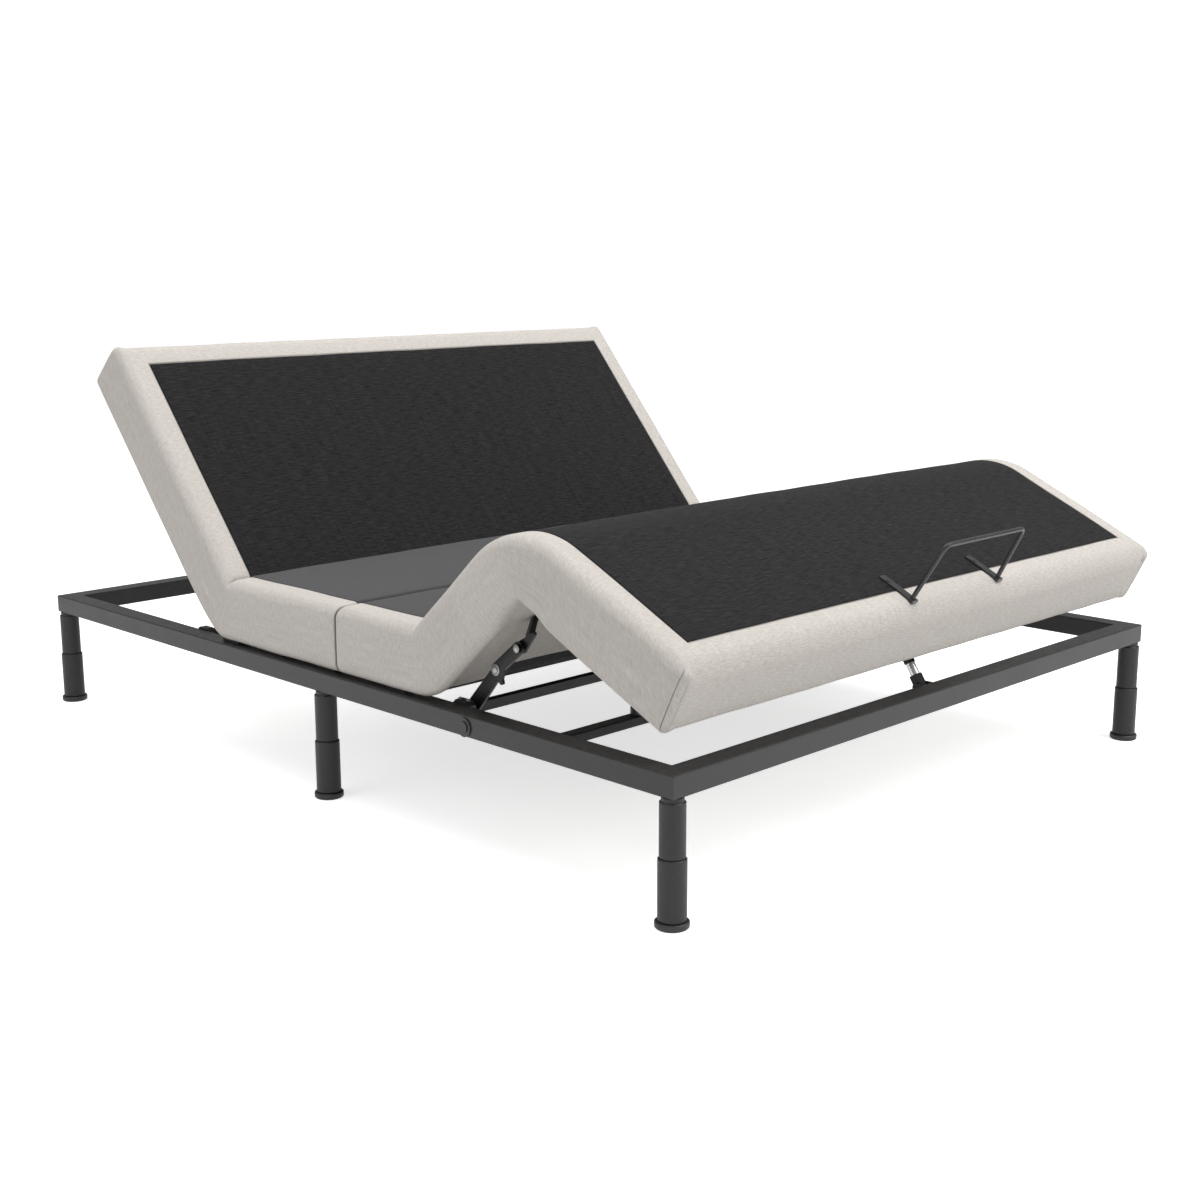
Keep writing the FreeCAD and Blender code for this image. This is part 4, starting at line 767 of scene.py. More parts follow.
@dataclass
class Cover:
    """A padded cover that runs along the deck, from one closed end to another, through a hinge."""

    name: str
    plan: DeckPlan
    padding: Padding
    top: Track
    bottom: Track
    hinge: Hinge
    bodies: Tuple[str, str]
    replaced: Tuple[str, ...]
    blend_half: float
    reach: float
    start_end: Optional[Rounding]
    far_end: Optional[Rounding]
    panel_stop: float = 0.0
    spacing: float = 14 * MM
    SWEEP: ClassVar[Array] = np.array([10, 15, 18, 20, 22, 25, 35, 47, 60, 75, 90.0])
    CLOSING: ClassVar[Array] = np.array([0.2, 0.4, 0.6, 0.8, 1.0])

    def stations(self) -> Tuple[Array, Array]:
        """Lengths along the top and the underside of each cross-section.

        The two tracks are cut at the bend plane and at the same reach either side of it, and each stretch is
        divided evenly, so a section leans over gradually towards the bend plane.

        Returns:
            The lengths along the top and along the underside.
        """
        crease_top, crease_low = self.fold, self.low_fold
        start = self.start_end.top if self.start_end else 0.0
        stop = self.far_end.top if self.far_end else 0.0
        before = min(crease_top, crease_low) - self.reach
        after = self.after(crease_top, crease_low)
        marks = [(start, start), (before, before)]
        fine = self.padding.crease_half
        dense = [-2.4, -1.5, -0.9, -0.45, 0.0, 0.45, 0.9, 1.5, 2.4] if crease_top < crease_low else [0.0]
        for step in dense:
            share = abs(step) * fine / self.reach
            end = (before, before) if step < 0 else (self.top.total - after, self.bottom.total - after)
            marks.append((crease_top + share * (end[0] - crease_top),
                          crease_low + share * (end[1] - crease_low)))
        marks.append((self.top.total - after, self.bottom.total - after))
        if self.panel_stop:
            marks += [(self.top.total - self.panel_stop + step, self.bottom.total - self.panel_stop + step)
                      for step in self.padding.groove()]
        marks.append((self.top.total - stop, self.bottom.total - stop))
        tops, lows = [np.array([marks[0][0]])], [np.array([marks[0][1]])]
        for (top_a, low_a), (top_b, low_b) in zip(marks, marks[1:]):
            count = max(1, round(max(top_b - top_a, low_b - low_a) / self.spacing))
            share = np.linspace(0, 1, count + 1)[1:]
            tops.append(top_a + share * (top_b - top_a))
            lows.append(low_a + share * (low_b - low_a))
        return np.concatenate(tops), np.concatenate(lows)

    @property
    def fold(self) -> float:
        """Length along the top at which the bend plane cuts it."""
        return self.top.crossing(self.hinge.pivot, self.hinge.heading)

    @property
    def low_fold(self) -> float:
        """Length along the underside at which the bend plane cuts it."""
        return self.bottom.crossing(self.hinge.pivot, self.hinge.heading)

    def after(self, crease_top: float, crease_low: float) -> float:
        """Length left to the far end where the sections stop leaning towards the bend plane."""
        return min(self.top.total - crease_top, self.bottom.total - crease_low) - self.reach

    def body_rings(self, outline: Outline) -> Rings:
        """Rings between the two ends.

        A point at height h of the section lies at low + (h / thickness) (high - low), where low and high are
        the tracks' points of that section. Crown and bulge swell it by a parabola across the top and down the
        sides, and the seam sinks it by depth * exp(-(distance / half width)^2).

        Args:
            outline: the deck's cross-section.

        Returns:
            The rings.
        """
        tops, lows = self.stations()
        high = self.top.at(tops)[:, None, :]
        low = self.bottom.at(lows)[:, None, :]
        swell_top, swell_side, seam = self.swell(outline, self.top.total - tops, tops)
        crease = self.crease(outline, tops)
        # Painted shade along the head crease, added to the seam's strength for the cloth's colour only.
        seam = np.maximum(seam, 0.9 * crease ** 3)
        swell_top = swell_top - self.padding.crease_depth * crease - np.maximum(
            self.lip(outline, self.top.total - tops, tops), self.hinge_sag(outline, lows))
        share = (outline.h[None, :] + swell_top) / self.plan.thickness
        side = low + share[..., None] * (high - low)
        x = outline.x[None, :] + swell_side
        weight = outline.h[None, :] / self.plan.thickness
        along = tops[:, None] * weight + lows[:, None] * (1 - weight)
        panel = self.panel_rows(self.top.total - tops)[:, None] & np.ones(len(outline), bool)[None, :]
        around = np.broadcast_to(outline.around, x.shape)
        return Rings(x, side, around, along, seam, panel)

    def crease(self, outline: Outline, tops: Array) -> Array:
        """Strength of the fold at a bend that closes the top, exp(-(distance / half width)^1.5).

        Args:
            outline: the deck's cross-section.
            tops: length along the top of each ring.

        Returns:
            Strength from 0 to 1, one row a ring, fading out round the outer edge.
        """
        if self.fold >= self.low_fold:
            return np.zeros((len(tops), len(outline)))
        away = np.abs(tops - self.fold)
        along = np.exp(-(away / self.padding.crease_half) ** 1.5)[:, None]
        border = smooth((np.abs(outline.x) - outline.panel + 4 * MM) / (10 * MM))
        return along * (border * np.clip(outline.lean_h, 0, 1) ** 1.5)[None, :]

    def hinge_sag(self, outline: Outline, lows: Array) -> Array:
        """Fullness under the head bend that covers the board's end, depth * exp(-(distance / reach)^2).

        Args:
            outline: the deck's cross-section.
            lows: length along the underside of each ring.

        Returns:
            The drop, one row a ring.
        """
        depth = self.padding.hinge_sag * (self.bodies[1] == "head")
        rows = depth * np.exp(-((lows - self.low_fold) / self.padding.hinge_reach) ** 2)
        return rows[:, None] * self.padding.below(outline.h)

    def lip(self, outline: Outline, left: Array, gone: Array) -> Array:
        """Drop of the padding below the board at the edges, which fades up the sides and by the knee.

        Args:
            outline: the deck's cross-section.
            left: length from each ring to the far end.
            gone: length from the start to each ring.

        Returns:
            The drop, one row a ring.
        """
        pad = self.padding
        inset = np.abs(outline.x) - self.plan.half_width + pad.lip_width
        edge = smooth(inset / (0.6 * pad.lip_width))[None, :]
        ends = np.zeros_like(left)
        if self.far_end and self.panel_stop:
            ends = smooth((60 * MM - left) / (25 * MM))
        past = gone - self.fold
        side = pad.lip + pad.head_lip * (self.bodies[1] == "head") * smooth(past / pad.head_ramp)
        if self.bodies[1] == "foot":
            side = side * smooth((np.abs(past) - self.blend_half) / pad.knee_ramp)
        drop = np.maximum(side[:, None] * edge, pad.end_lip * ends[:, None])
        return drop * pad.below(outline.h)

    def panel_rows(self, left: Array) -> Array:
        """Which rings the top panel covers, by the length left to the far end."""
        return left > self.panel_stop + 1e-6 if self.panel_stop else np.ones(len(left), bool)

    def swell(self, outline: Outline, left: Array, gone: Array) -> Tuple[Array, Array, Array]:
        """Crown, bulge and seam groove of the rings.

        Args:
            outline: the deck's cross-section.
            left: length from each ring to the far end.
            gone: length from the start to each ring.

        Returns:
            Change in height, change in x and the seam's strength, which also sets the painted shade in its
            grooves, one row a ring.
        """
        pad = self.padding
        across = outline.x[None, :] / self.plan.half_width
        up = np.clip(outline.lean_h[None, :], 0, 1)
        ends = np.ones_like(left)
        if self.start_end:
            ends = ends * (1 - np.exp(-gone / pad.start_ramp))
        if self.far_end:
            ends = ends * (1 - np.exp(-left / pad.far_ramp))
        crown = pad.crown * (1 - across ** 2) * up * ends[:, None]
        sag = -pad.under_sag * (outline.lean_h[None, :] < -0.5)
        middle = (outline.h[None, :] - self.plan.thickness / 2) / (self.plan.thickness / 2)
        bulge = pad.bulge * (1 - middle ** 2) * np.sign(outline.x)[None, :] * np.abs(outline.lean_x)[None, :]
        # The seams sink grooves, and their strength also darkens the cloth there as painted shade.
        line = np.abs(np.abs(outline.x)[None, :] - outline.panel)
        near_side = np.exp(-(line / pad.seam_half) ** 2) * (outline.lean_h[None, :] > 0.9)
        inside = self.panel_rows(left + pad.seam_half)[:, None]
        seam = near_side * inside
        if self.panel_stop:
            cross = np.exp(-((left - self.panel_stop) / pad.seam_half) ** 2)[:, None]
            on_panel = np.abs(outline.x)[None, :] < outline.panel + pad.seam_half
            within = on_panel & (outline.lean_h[None, :] > 0.9)
            seam = np.maximum(seam, cross * within)
        return crown + sag - pad.seam_depth * seam, bulge * ends[:, None], seam

    def end_rings(self, outline: Outline, at_start: bool) -> Rings:
        """Rings that round off one end and close it.

        At angle a a point has gone in by r (1 - cos a) along its own normal and out by r sin a along the
        deck, where r goes from the side's radius to the top's or the underside's as the normal turns. Then
        the ring closes towards the section's middle height. Without rounding the ring just closes.

        Args:
            outline: the deck's cross-section.
            at_start: whether this is the start or the far end.

        Returns:
            The rings, from the body outwards.
        """
        rounding = self.start_end if at_start else self.far_end
        top_place = 0.0 if at_start else self.top.total
        low_place = 0.0 if at_start else self.bottom.total
        inward = 1.0 if at_start else -1.0
        step = 1e-3
        high = self.top.at(np.array([top_place]))[0]
        low = self.bottom.at(np.array([low_place]))[0]
        ahead = (self.top.at(np.array([top_place + inward * step]))[0] - high) / step
        rise = (high - low) / self.plan.thickness
        if rounding:
            radius = self.end_radius(outline, rounding)
            sweep = self.SWEEP
        else:
            radius = np.zeros(len(outline))
            sweep = self.SWEEP[-1:]
        angle = np.radians(sweep)[:, None]
        near = np.array([rounding.top if rounding else 0.0])
        whole = np.array([self.top.total])
        left, gone = (whole, near) if at_start else (near, whole)
        top_swell, side_swell, _ = self.swell(outline, left, gone)
        drop = self.lip(outline, left, gone)
        fade = np.cos(angle) ** 2 if rounding else np.ones((1, 1))
        tuck = radius * (1 - np.cos(angle))
        narrow = np.minimum(radius, 0.95 * self.padding.top_edge) * (1 - np.cos(angle))
        seam = np.zeros((len(sweep), len(outline)))
        # The corner seam sinks a groove that the cloth also darkens as painted shade.
        if rounding and rounding.corner_seam:
            seam = np.exp(-((sweep[:, None] - 20) / 3) ** 2) * np.abs(outline.lean_x)[None, :] ** 2
        sink = self.padding.seam_depth * seam
        # At a joint the rounded end and its closing rings get painted shade for the gap between the two
        # covers.
        if rounding and rounding.joint:
            seam = smooth((sweep[:, None] - 32) / 22) + np.zeros((1, len(outline)))
        x = outline.x - outline.lean_x * (narrow + sink) + side_swell * fade
        h = outline.h - outline.lean_h * tuck + top_swell * fade - drop
        out = radius * (1 - np.sin(angle)) + sink
        shrink = self.CLOSING[:, None]
        partner = (len(outline) // 2 - np.arange(len(outline))) % len(outline)
        closed_x = (x[-1:] + x[-1:, partner]) / 2
        closed_joint_shade = np.full((len(shrink), len(outline)), float(bool(rounding and rounding.joint)))
        x = np.concatenate([x, x[-1:] + (closed_x - x[-1:]) * shrink])
        h = np.concatenate([h, h[-1:] + (self.plan.thickness / 2 - h[-1:]) * shrink])
        out = np.concatenate([out, np.repeat(out[-1:], len(shrink), axis=0)])
        seam = np.concatenate([seam, closed_joint_shade])
        side = low + h[..., None] * rise + out[..., None] * ahead
        around = np.broadcast_to(outline.around, x.shape)
        panel = np.full(x.shape, self.panel_stop == 0 or at_start)
        return Rings(x, side, around, np.zeros_like(x), seam, panel)

    @staticmethod
    def end_radius(outline: Outline, rounding: Rounding) -> Array:
        """Radius of each point at a rounded end, from the side's to the top's or underside's."""
        flat = np.where(outline.lean_h > 0, rounding.top, rounding.bottom)
        return rounding.side + (flat - rounding.side) * outline.lean_h ** 4

    def build(self) -> bpy.types.Object:
        """Make the cover's mesh and its materials, and hide the CAD nodes that it replaces.

        Returns:
            The cover.
        """
        outline = Outline(self.plan, self.padding)
        start = self.end_rings(outline, True)
        for name in ("x", "side", "around", "along", "seam", "panel"):
            setattr(start, name, getattr(start, name)[::-1])
        body = self.body_rings(outline)
        rings = Rings.joined([start, body, self.end_rings(outline, False)])
        points = np.concatenate([rings.x[..., None], rings.side], axis=-1)
        first, last = len(start.x), len(start.x) + len(body.x) - 1
        steps = np.linalg.norm(np.diff(points, axis=0), axis=-1)
        rings.along[last + 1:] = rings.along[last] + np.cumsum(steps[last:], axis=0)
        rings.along[:first] = rings.along[first] - np.cumsum(steps[:first][::-1], axis=0)[::-1]
        cover = grid_object(self.name, points, np.stack([rings.around, rings.along], axis=-1), rings.seam,
                            self.panel_faces(outline, rings))
        ripple(cover, self.padding.ripple)
        finish_shading(cover, 34)
        plane = np.concatenate([[0.0], self.hinge.heading])
        pivot = np.concatenate([[0.0], self.hinge.pivot])
        tuple(pivot - self.blend_half * plane)
        tuple(pivot + self.blend_half * plane)
        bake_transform(cover)
        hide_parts(*self.replaced)
        LOG.info("cover %s: %d rings of %d points", self.name, len(points), len(outline))
        return cover

    def panel_faces(self, outline: Outline, rings: Rings) -> Array:
        """Material number of each face: charcoal between the seams on top, the seat's lighter cloth, partly
        painted sheen, on the seat, and charcoal underneath for the dust cover and painted shade.
        """
        middle = (outline.x + np.roll(outline.x, -1)) / 2
        upward = (outline.lean_h + np.roll(outline.lean_h, -1)) / 2 > 0.5
        column = (np.abs(middle) < outline.panel) & upward
        row = rings.panel[:-1, 0] & rings.panel[1:, 0]
        seat = (rings.along[:-1, 0] + rings.along[1:, 0]) / 2 < self.fold
        kind = np.where(seat & (self.bodies[0] == "root"), 2, 1)
        return np.maximum((row[:, None] & column[None, :]) * kind[:, None], self.dust_and_shade_faces(outline, rings))

    def dust_and_shade_faces(self, outline: Outline, rings: Rings) -> Array:
        """Faces of the dark cloth underneath, a dust cover under the seat and painted shade where it rises
        past the thigh bend: 1 there, 0 elsewhere.
        """
        under = (outline.lean_h + np.roll(outline.lean_h, -1)) / 2 < -0.5
        column = under & (np.abs(outline.x) < self.plan.half_width - self.padding.dust_and_shade_inset)
        height = (rings.side[:-1, :, 1] + rings.side[1:, :, 1]) / 2
        # Past the thigh bend the dark cloth rises up the underside as painted shade.
        rise = self.padding.painted_shade_rise if self.bodies[1] == "thigh" else 2 * MM
        return (height < self.plan.bottom + rise) & column[None, :] & (self.bodies[0] == "root")


def grid_object(name: str, points: Array, uv: Array, seam: Array, panel: Array) -> bpy.types.Object:
    """Mesh of a grid whose rows are closed rings.

    Args:
        name: the piece's name.
        points: place of each grid point, rows by columns by 3.
        uv: cloth coordinates of each grid point, in metres.
        seam: seam strength of each grid point, which the cloth darkens as painted shade.
        panel: for each face, the number of its material.

    Returns:
        The object, with linen first, charcoal second and the seat's lighter cloth, partly painted sheen,
        third among its materials.
    """
    rows, columns = points.shape[:2]
    number = np.arange(rows * columns).reshape(rows, columns)
    ahead = np.roll(number, -1, axis=1)
    faces = np.stack([number[:-1], ahead[:-1], ahead[1:], number[1:]], axis=-1).reshape(-1, 4)
    mesh = bpy.data.meshes.new(name)
    mesh.from_pydata(points.reshape(-1, 3).tolist(), [], faces.tolist())
    flat_uv = uv.reshape(-1, 2)
    corner_uv = flat_uv[faces.ravel()].reshape(-1, 4, 2)
    middle = columns // 2
    wraps = np.tile(np.arange(columns) == middle, rows - 1)
    corner_uv[wraps, 1:3, 0] = corner_uv[wraps, 0:1, 0]
    layer = mesh.uv_layers.new(name="UVMap")
    layer.data.foreach_set("uv", corner_uv.astype(np.float32).ravel())
    strength = mesh.attributes.new("seam", "FLOAT", "POINT")
    strength.data.foreach_set("value", seam.astype(np.float32).ravel())
    mesh.materials.append(Finish.LINEN.material())
    mesh.materials.append(Finish.CHARCOAL.material())
    mesh.materials.append(Finish.SEAT_AND_SHEEN.material())
    mesh.polygons.foreach_set("material_index", panel.astype(np.int32).ravel())
    piece = bpy.data.objects.new(name, mesh)
    bpy.context.scene.collection.objects.link(piece)
    weld(mesh)
    return piece


def weld(mesh: bpy.types.Mesh) -> None:
    """Join points that coincide and face every surface outward."""
    work = bmesh.new()
    work.from_mesh(mesh)
    bmesh.ops.remove_doubles(work, verts=work.verts, dist=2e-6)
    bmesh.ops.recalc_face_normals(work, faces=work.faces)
    work.to_mesh(mesh)
    work.free()


def ripple(piece: bpy.types.Object, height: float) -> None:
    """Move a mesh's points along their normals by slow waves: height times a mean of sines of the place.

    Args:
        piece: the object.
        height: largest movement in metres.
    """
    mesh = piece.data
    count = len(mesh.vertices)
    points = np.empty(count * 3)
    normals = np.empty(count * 3)
    mesh.vertices.foreach_get("co", points)
    mesh.vertices.foreach_get("normal", normals)
    points, normals = points.reshape(-1, 3), normals.reshape(-1, 3)
    x, y, z = points.T
    wave = (np.sin(17 * x + 5 * np.sin(4 * y)) + np.sin(23 * y + 9 * z + 4 * np.sin(5 * x)) +
            np.sin(41 * x - 31 * y + 20 * z)) / 3
    points += normals * (height * wave)[:, None]
    mesh.vertices.foreach_set("co", points.ravel())
    mesh.update()


def finish_shading(piece: bpy.types.Object, sharp: float) -> None:
    """Smooth shading with creases sharper than an angle left sharp.

    Args:
        piece: the object.
        sharp: the angle in degrees.
    """
    mesh = piece.data
    mesh.polygons.foreach_set("use_smooth", np.ones(len(mesh.polygons), bool))
    mesh.set_sharp_from_angle(angle=math.radians(sharp))
    mesh.update()


@dataclass
class Deck:
    """The upholstered deck: a head cover, a seat and thigh cover, and a knee cover."""

    plan: DeckPlan
    padding: Padding = Padding()
    seam_gap: float = 0.4 * MM
    head_start: float = 28 * MM
    head_slack: float = 95 * MM
    knee_fullness: float = 75 * MM
    seat_blend: float = 60 * MM
    knee_blend: float = 72 * MM
    head_reach: float = 110 * MM
    thigh_reach: float = 100 * MM
    seam_end: Rounding = Rounding(14 * MM, 7 * MM, 8 * MM, joint=True)
    head_end: Rounding = Rounding(28 * MM, 10 * MM, 16 * MM)
    foot_end: Rounding = Rounding(38 * MM, 12 * MM, 12 * MM, corner_seam=True)

    def corner_line(self, hinge: Hinge, height: float, heading: float) -> Array:
        """Point beside the hinge on a section's plane, level with the pivot along the section.

        Args:
            hinge: the hinge.
            height: distance from the pivot up to the plane, along the section's normal.
            heading: the section's heading.

        Returns:
            The (y, z) point.
        """
        across = direction(heading + (90 if abs(heading) < 90 else -90))
        return hinge.pivot + height * across

    def crease(self, hinge: Hinge, height: float) -> Array:
        """Where the planes of both sections meet, at a height from the pivot towards the top.

        The point lies on the bend plane, at height / cos(bend / 2) from the pivot.
        """
        middle = (hinge.before + hinge.after) / 2
        across = direction(middle + (90 if abs(middle) < 90 else -90))
        return hinge.pivot + height / math.cos(math.radians(hinge.bend / 2)) * across

    def head_cover(self) -> Cover:
        """Cover of the seat's head half and the head section.

        Returns:
            The cover, which bends at the head hinge.
        """
        plan, hinge = self.plan, self.plan.head
        above = plan.top - hinge.pivot[1]
        below = plan.bottom - hinge.pivot[1]
        start = plan.seam_y + self.seam_gap
        far_top = self.corner_line(hinge, above, hinge.after) + plan.head_length * direction(hinge.after)
        far_low = self.corner_line(hinge, below, hinge.after) + plan.head_length * direction(hinge.after)
        fold = self.crease(hinge, above)
        corner = self.crease(hinge, below)
        bend_start = np.array([hinge.pivot[0] - self.head_start, plan.bottom])
        bend_end = corner + self.head_slack * direction(hinge.after)
        top = Track(np.concatenate([straight(np.array([start, plan.top]), fold),
                                    straight(fold, far_top)[1:]]))
        low = Track(np.concatenate([straight(np.array([start, plan.bottom]), bend_start),
                                    soft_corner(bend_start, corner, bend_end)[1:],
                                    straight(bend_end, far_low)[1:]]))
        return Cover("head_cover", plan, self.padding, top, low, hinge, ("root", "head"),
                     ("seat_head_cushion", "head_cushion"), self.seat_blend, self.head_reach,
                     self.seam_end, self.head_end, plan.border)

    def seat_cover(self) -> Cover:
        """Cover of the seat's foot half and the near half of the thigh section.

        Returns:
            The cover, which bends at the thigh hinge.
        """
        plan, hinge = self.plan, self.plan.thigh
        above = plan.top - hinge.pivot[1]
        below = hinge.pivot[1] - plan.bottom
        start = plan.seam_y - self.seam_gap
        half = plan.thigh_length / 2
        far_top = self.corner_line(hinge, above, hinge.after) + half * direction(hinge.after)
        far_low = self.corner_line(hinge, -below, hinge.after) + half * direction(hinge.after)
        fold = self.crease(hinge, above)
        fan = round_arc(hinge.pivot, below, -90, -90 - hinge.bend)
        top = Track(np.concatenate([straight(np.array([start, plan.top]), fold),
                                    straight(fold, far_top)[1:]]))
        low = Track(np.concatenate([straight(np.array([start, plan.bottom]), fan[0]), fan[1:],
                                    straight(fan[-1], far_low)[1:]]))
        return Cover("seat_cover", plan, self.padding, top, low, hinge, ("root", "thigh"),
                     ("seat_foot_cushion", "thigh_cushion", "thigh_gusset"), self.seat_blend,
                     self.thigh_reach, self.seam_end, None)

    def knee_cover(self) -> Cover:
        """Cover of the far half of the thigh section and the foot section.

        Returns:
            The cover, which bends at the knee hinge.
        """
        plan, hinge, thigh = self.plan, self.plan.knee, self.plan.thigh
        above = self.knee_depth()
        low_gap = above - plan.thickness
        half = plan.thigh_length / 2
        along = half * direction(thigh.after)
        start_top = self.corner_line(thigh, plan.top - thigh.pivot[1], thigh.after) + along
        start_low = self.corner_line(thigh, plan.bottom - thigh.pivot[1], thigh.after) + along
        fan_start = hinge.before - 90
        half_bend = math.radians(hinge.bend / 2)
        outward = direction(fan_start + hinge.bend / 2)
        centre = hinge.pivot - self.knee_fullness / math.cos(half_bend) * outward
        fan = round_arc(centre, above + self.knee_fullness, fan_start, fan_start + hinge.bend)
        shift = self.knee_fullness * math.tan(half_bend)
        far_top = fan[-1] + (plan.foot_length - shift) * direction(hinge.after)
        fold = self.crease(hinge, low_gap)
        far_low = self.corner_line(hinge, low_gap, hinge.after) + plan.foot_length * direction(hinge.after)
        top = Track(np.concatenate([straight(start_top, fan[0]), fan[1:], straight(fan[-1], far_top)[1:]]))
        low = Track(np.concatenate([straight(start_low, fold), straight(fold, far_low)[1:]]))
        return Cover("knee_cover", plan, self.padding, top, low, hinge, ("thigh", "foot"),
                     ("foot_cushion", "knee_gusset"), self.knee_blend, self.thigh_reach, None,
                     self.foot_end, plan.border)

    def knee_depth(self) -> float:
        """Distance from the knee hinge to the deck's top, read across the thigh section."""
        thigh, knee = self.plan.thigh, self.plan.knee
        across = direction(thigh.after - 90)
        return float(self.plan.top - thigh.pivot[1] + (thigh.pivot - knee.pivot) @ across)

    def build(self) -> None:
        """Make the three covers."""
        for cover in (self.head_cover(), self.seat_cover(), self.knee_cover()):
            cover.build()


# ---- fasteners -----------------------------------------------------------------------------------
@dataclass(frozen=True)
class Bolt:
    """A domed bolt head on its washer, turned about its axis."""

    radius: float
    height: float
    sides: int = 32

    def rings(self) -> Array:
        """Radius and height of each ring of the profile, from the dome's middle to the washer's underside."""
        shape = np.array([(0, 1.0), (0.35, 0.97), (0.58, 0.86), (0.69, 0.68), (0.71, 0.34), (0.93, 0.30),
                          (1.0, 0.20), (1.0, 0.0), (0, 0.0)])
        return shape * (self.radius, self.height)

    def points(self, place: Array, axis: Array) -> Array:
        """Grid of the head's points, place + r (cos a u + sin a v) + h axis.

        Args:
            place: middle of the washer's underside.
            axis: unit vector that the head faces.

        Returns:
            Array of rings by sides by 3.
        """
        first = np.cross(axis, (0.0, 1.0, 0.0))
        if np.linalg.norm(first) < 0.5:
            first = np.cross(axis, (1.0, 0.0, 0.0))
        first = first / np.linalg.norm(first)
        second = np.cross(axis, first)
        turn = np.linspace(0, 2 * np.pi, self.sides, endpoint=False)
        around = np.cos(turn)[:, None] * first + np.sin(turn)[:, None] * second
        rings = self.rings()
        return place + rings[:, None, :1] * around[None] + rings[:, None, 1:] * axis


@dataclass(frozen=True)
class BoltSet:
    """Several equal bolt heads as one piece."""

    name: str
    bolt: Bolt
    places: Tuple[Tuple[float, float, float], ...]
    axes: Tuple[Tuple[float, float, float], ...]
    body: str
    replaced: Tuple[str, ...] = ()

    def build(self) -> bpy.types.Object:
        """Make the heads, dress them in zinc and put them on their body.

        Returns:
            The piece.
        """
        grids = np.stack([self.bolt.points(np.array(place), np.array(axis))
                          for place, axis in zip(self.places, self.axes)])
        heads, rows, columns = grids.shape[:3]
        number = np.arange(heads * rows * columns).reshape(heads, rows, columns)
        ahead = np.roll(number, -1, axis=2)
        faces = np.stack([number[:, :-1], number[:, 1:], ahead[:, 1:], ahead[:, :-1]], axis=-1).reshape(-1, 4)
        mesh = bpy.data.meshes.new(self.name)
        mesh.from_pydata(grids.reshape(-1, 3).tolist(), [], faces.tolist())
        mesh.materials.append(Finish.ZINC.material())
        piece = bpy.data.objects.new(self.name, mesh)
        bpy.context.scene.collection.objects.link(piece)
        weld(mesh)
        finish_shading(piece, 32)
        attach(piece, self.body)
        if self.replaced:
            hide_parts(*self.replaced)
        LOG.info("bolt heads %s: %d", self.name, heads)
        return piece


@dataclass(frozen=True)
class Fasteners:
    """Bright bolt heads of the foot lift, placed from the CAD nodes' boxes."""

    elbow: Bolt = Bolt(11 * MM, 5 * MM)
    pivot: Bolt = Bolt(7.5 * MM, 3 * MM)
    lug: Bolt = Bolt(4.5 * MM, 3.5 * MM)
    lug_spread: float = 11 * MM
    lug_inset: float = 9 * MM
    lug_rise: float = 18.8 * MM

    def build(self) -> None:
        """Make the elbow, link and bearing-lug bolt heads on both sides."""
        low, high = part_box("elbow_bolts")
        middle = ((low[1] + high[1]) / 2, (low[2] + high[2]) / 2)
        base = high[0] - self.elbow.height
        sideways = ((1.0, 0.0, 0.0), (-1.0, 0.0, 0.0))
        BoltSet("elbow_bolt_heads", self.elbow, ((base, *middle), (-base, *middle)), sideways, "lift_links",
                ("elbow_bolts",)).build()
        joints = {joint["name"]: joint for joint in frame["joints"]}
        pivot = joints["lift_link_turn"]["pos_m"]
        face = high[0] - self.pivot.height * 0.2
        BoltSet("link_pivot_heads", self.pivot, ((face, pivot[1], pivot[2]), (-face, pivot[1], pivot[2])),
                sideways, "thigh").build()
        shaft = joints["foot_shaft_turn"]["pos_m"]
        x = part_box("shaft_blocks")[1][0] - self.lug_inset
        spots = tuple((side * x, shaft[1] + end * self.lug_spread, shaft[2] + self.lug_rise)
                      for side in (1, -1) for end in (-1, 1))
        BoltSet("bearing_lug_heads", self.lug, spots, ((0.0, 0.0, 1.0),) * 4, "root").build()


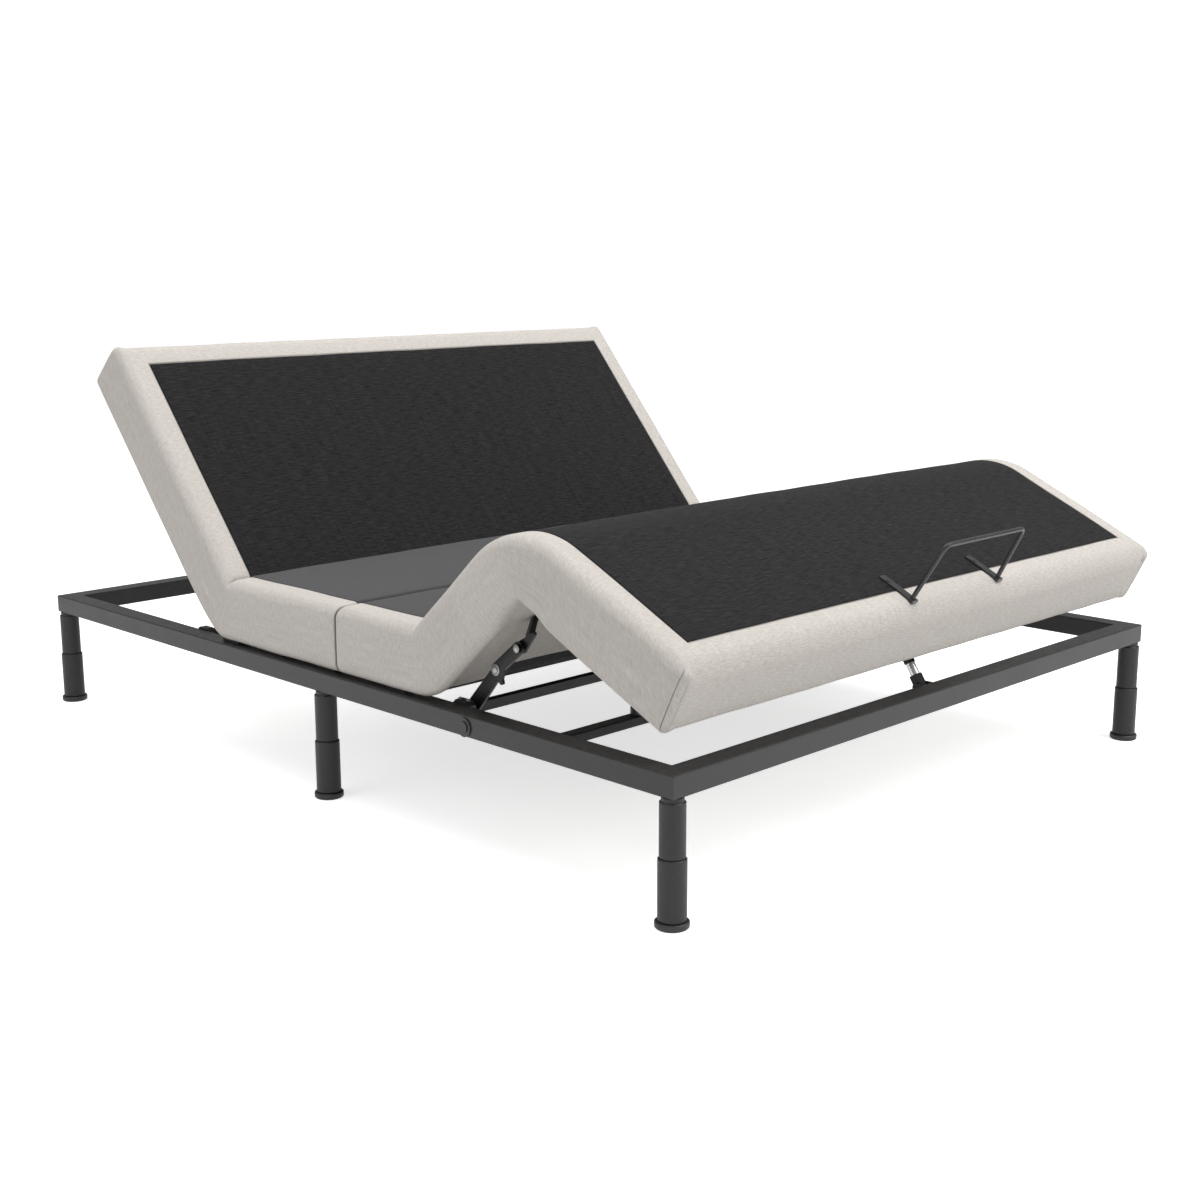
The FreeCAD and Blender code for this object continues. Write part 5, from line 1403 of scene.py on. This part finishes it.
# ---- studio --------------------------------------------------------------------------------------
@dataclass(frozen=True)
class Studio:
    """Pale floor, soft lights and the camera."""

    eye: Tuple[float, float, float] = (-2.5733, -2.6417, 1.0547)
    aim: Tuple[float, float, float] = (0.69073, 0.69364, -0.20435)
    roll: float = -0.003
    lens: float = 49.214
    floor_size: float = 60.0
    floor_colour: Colour = (0.86, 0.86, 0.86)
    floor_glow: float = 0.68
    ground_light: float = 0.42
    white_light: float = 1.2

    def floor(self) -> None:
        """Large pale floor that keeps the object's shadow and looks white to the camera."""
        half = self.floor_size / 2
        corners = [(-half, -half, 0), (half, -half, 0), (half, half, 0), (-half, half, 0)]
        mesh = bpy.data.meshes.new("floor")
        mesh.from_pydata(corners, [], [(0, 1, 2, 3)])
        graph = Graph("floor_look")
        path = graph.node("ShaderNodeLightPath", {}, {}, "Is Camera Ray")
        glossy = graph.node("ShaderNodeLightPath", {}, {}, "Is Glossy Ray")
        through = graph.node("ShaderNodeLightPath", {}, {}, "Is Transmission Ray")
        graph.surface(Base_Color=(*self.floor_colour, 1), Roughness=0.9, Specular_IOR_Level=0.0,
                      Emission_Color=(1, 1, 1, 1),
                      Emission_Strength=(path + glossy + through) * self.floor_glow)
        mesh.materials.append(graph.material)
        piece = bpy.data.objects.new("floor", mesh)
        bpy.context.scene.collection.objects.link(piece)

    def world(self) -> None:
        """Even pale surroundings, white to the camera."""
        world = bpy.data.worlds.new("surroundings")
        bpy.context.scene.world = world
        world.use_nodes = True
        tree = world.node_tree
        ground = tree.nodes["Background"]
        ground.inputs["Color"].default_value = (1, 1, 1, 1)
        ground.inputs["Strength"].default_value = self.ground_light
        white = tree.nodes.new("ShaderNodeBackground")
        white.inputs["Color"].default_value = (1, 1, 1, 1)
        white.inputs["Strength"].default_value = self.white_light
        path = tree.nodes.new("ShaderNodeLightPath")
        mix = tree.nodes.new("ShaderNodeMixShader")
        tree.links.new(path.outputs["Is Camera Ray"], mix.inputs[0])
        tree.links.new(ground.outputs[0], mix.inputs[1])
        tree.links.new(white.outputs[0], mix.inputs[2])
        tree.links.new(mix.outputs[0], tree.nodes["World Output"].inputs["Surface"])

    @staticmethod
    def lamp(name: str, place: Vector, aim: Vector, size: float, power: float) -> None:
        """Square area lamp.

        Args:
            name: the lamp's name.
            place: where it stands.
            aim: the point that it lights.
            size: length of its side.
            power: power in watts.
        """
        data = bpy.data.lights.new(name, "AREA")
        data.shape = "SQUARE"
        data.size = size
        data.energy = power
        lamp = bpy.data.objects.new(name, data)
        lamp.location = place
        lamp.rotation_euler = (aim - place).to_track_quat("-Z", "Y").to_euler()
        bpy.context.scene.collection.objects.link(lamp)

    def camera(self) -> None:
        """Camera beside the foot end, looking along the bed towards the head."""
        data = bpy.data.cameras.new("camera")
        data.lens = self.lens
        data.sensor_width = 36.0
        data.clip_end = 200.0
        camera = bpy.data.objects.new("camera", data)
        facing = Vector(self.aim).to_track_quat("-Z", "Y").to_matrix()
        tilt = Matrix.Rotation(self.roll, 3, "Z")
        camera.matrix_world = Matrix.Translation(Vector(self.eye)) @ (facing @ tilt).to_4x4()
        bpy.context.scene.collection.objects.link(camera)
        bpy.context.scene.camera = camera

    def build(self) -> None:
        """Set the stage."""
        bpy.context.scene.view_settings.view_transform = "Standard"
        self.floor()
        self.world()
        middle = Vector((0, 0, 0.35))
        self.lamp("key", Vector((1.6, -3.6, 4.2)), middle, 3.2, 165)
        self.lamp("overhead", Vector((-0.4, 0.4, 4.6)), middle, 4.0, 125)
        self.lamp("side_fill", Vector((-4.5, 0.5, 2.2)), middle, 3.0, 27)
        self.camera()


NODE_FINISHES: Dict[Finish, Tuple[str, ...]] = {
    Finish.FRAME: ("side_rail_left", "side_rail_right", "head_rail", "foot_rail", "rail_caps"),
    Finish.SHADED_BEAM: ("seat_beam", "actuator_beam", "hinge_beam", "foot_beam"),
    Finish.LEG: ("leg_upper_sections", "leg_lower_sections"),
    Finish.MECHANISM: ("foot_lift_shaft", "lift_arms", "foot_crank", "lift_links", "head_lift_shaft",
                       "head_lift_arms", "actuator_brackets", "thigh_brackets", "seat_hinge_leaves",
                       "head_hinge_leaves", "thigh_hinge_leaves", "foot_hinge_leaves", "support_arm",
                       "support_bracket", "head_actuator_motor", "foot_actuator_motor"),
    Finish.RETAINER: ("retainer_bar", "retainer_bolts"),
    Finish.ZINC: ("leg_studs_and_nuts", "seat_hinge_pins", "knee_hinge_pins", "elbow_bolts", "block_bolts",
                  "head_actuator_rod", "foot_actuator_rod"),
    Finish.SLEEVE: ("support_sleeve",),
    Finish.PLASTIC: ("leg_glides", "seat_spacers", "rest_bumpers", "support_roller", "head_rollers",
                     "head_runners", "foot_runner", "shaft_blocks", "control_box", "mains_inlet",
                     "head_actuator_housing", "foot_actuator_housing"),
    Finish.PLYWOOD: ("seat_boards", "head_board", "thigh_board", "foot_board"),
}


def main() -> None:
    """Dress the frame, make the soft goods and the studio."""
    logging.basicConfig(level=logging.INFO, format="%(name)s: %(message)s")
    for finish, nodes in NODE_FINISHES.items():
        for node in nodes:
            dress(node, finish)
    Deck(DeckPlan.read()).build()
    Fasteners().build()
    Studio().build()


if __name__ == "__main__":
    main()
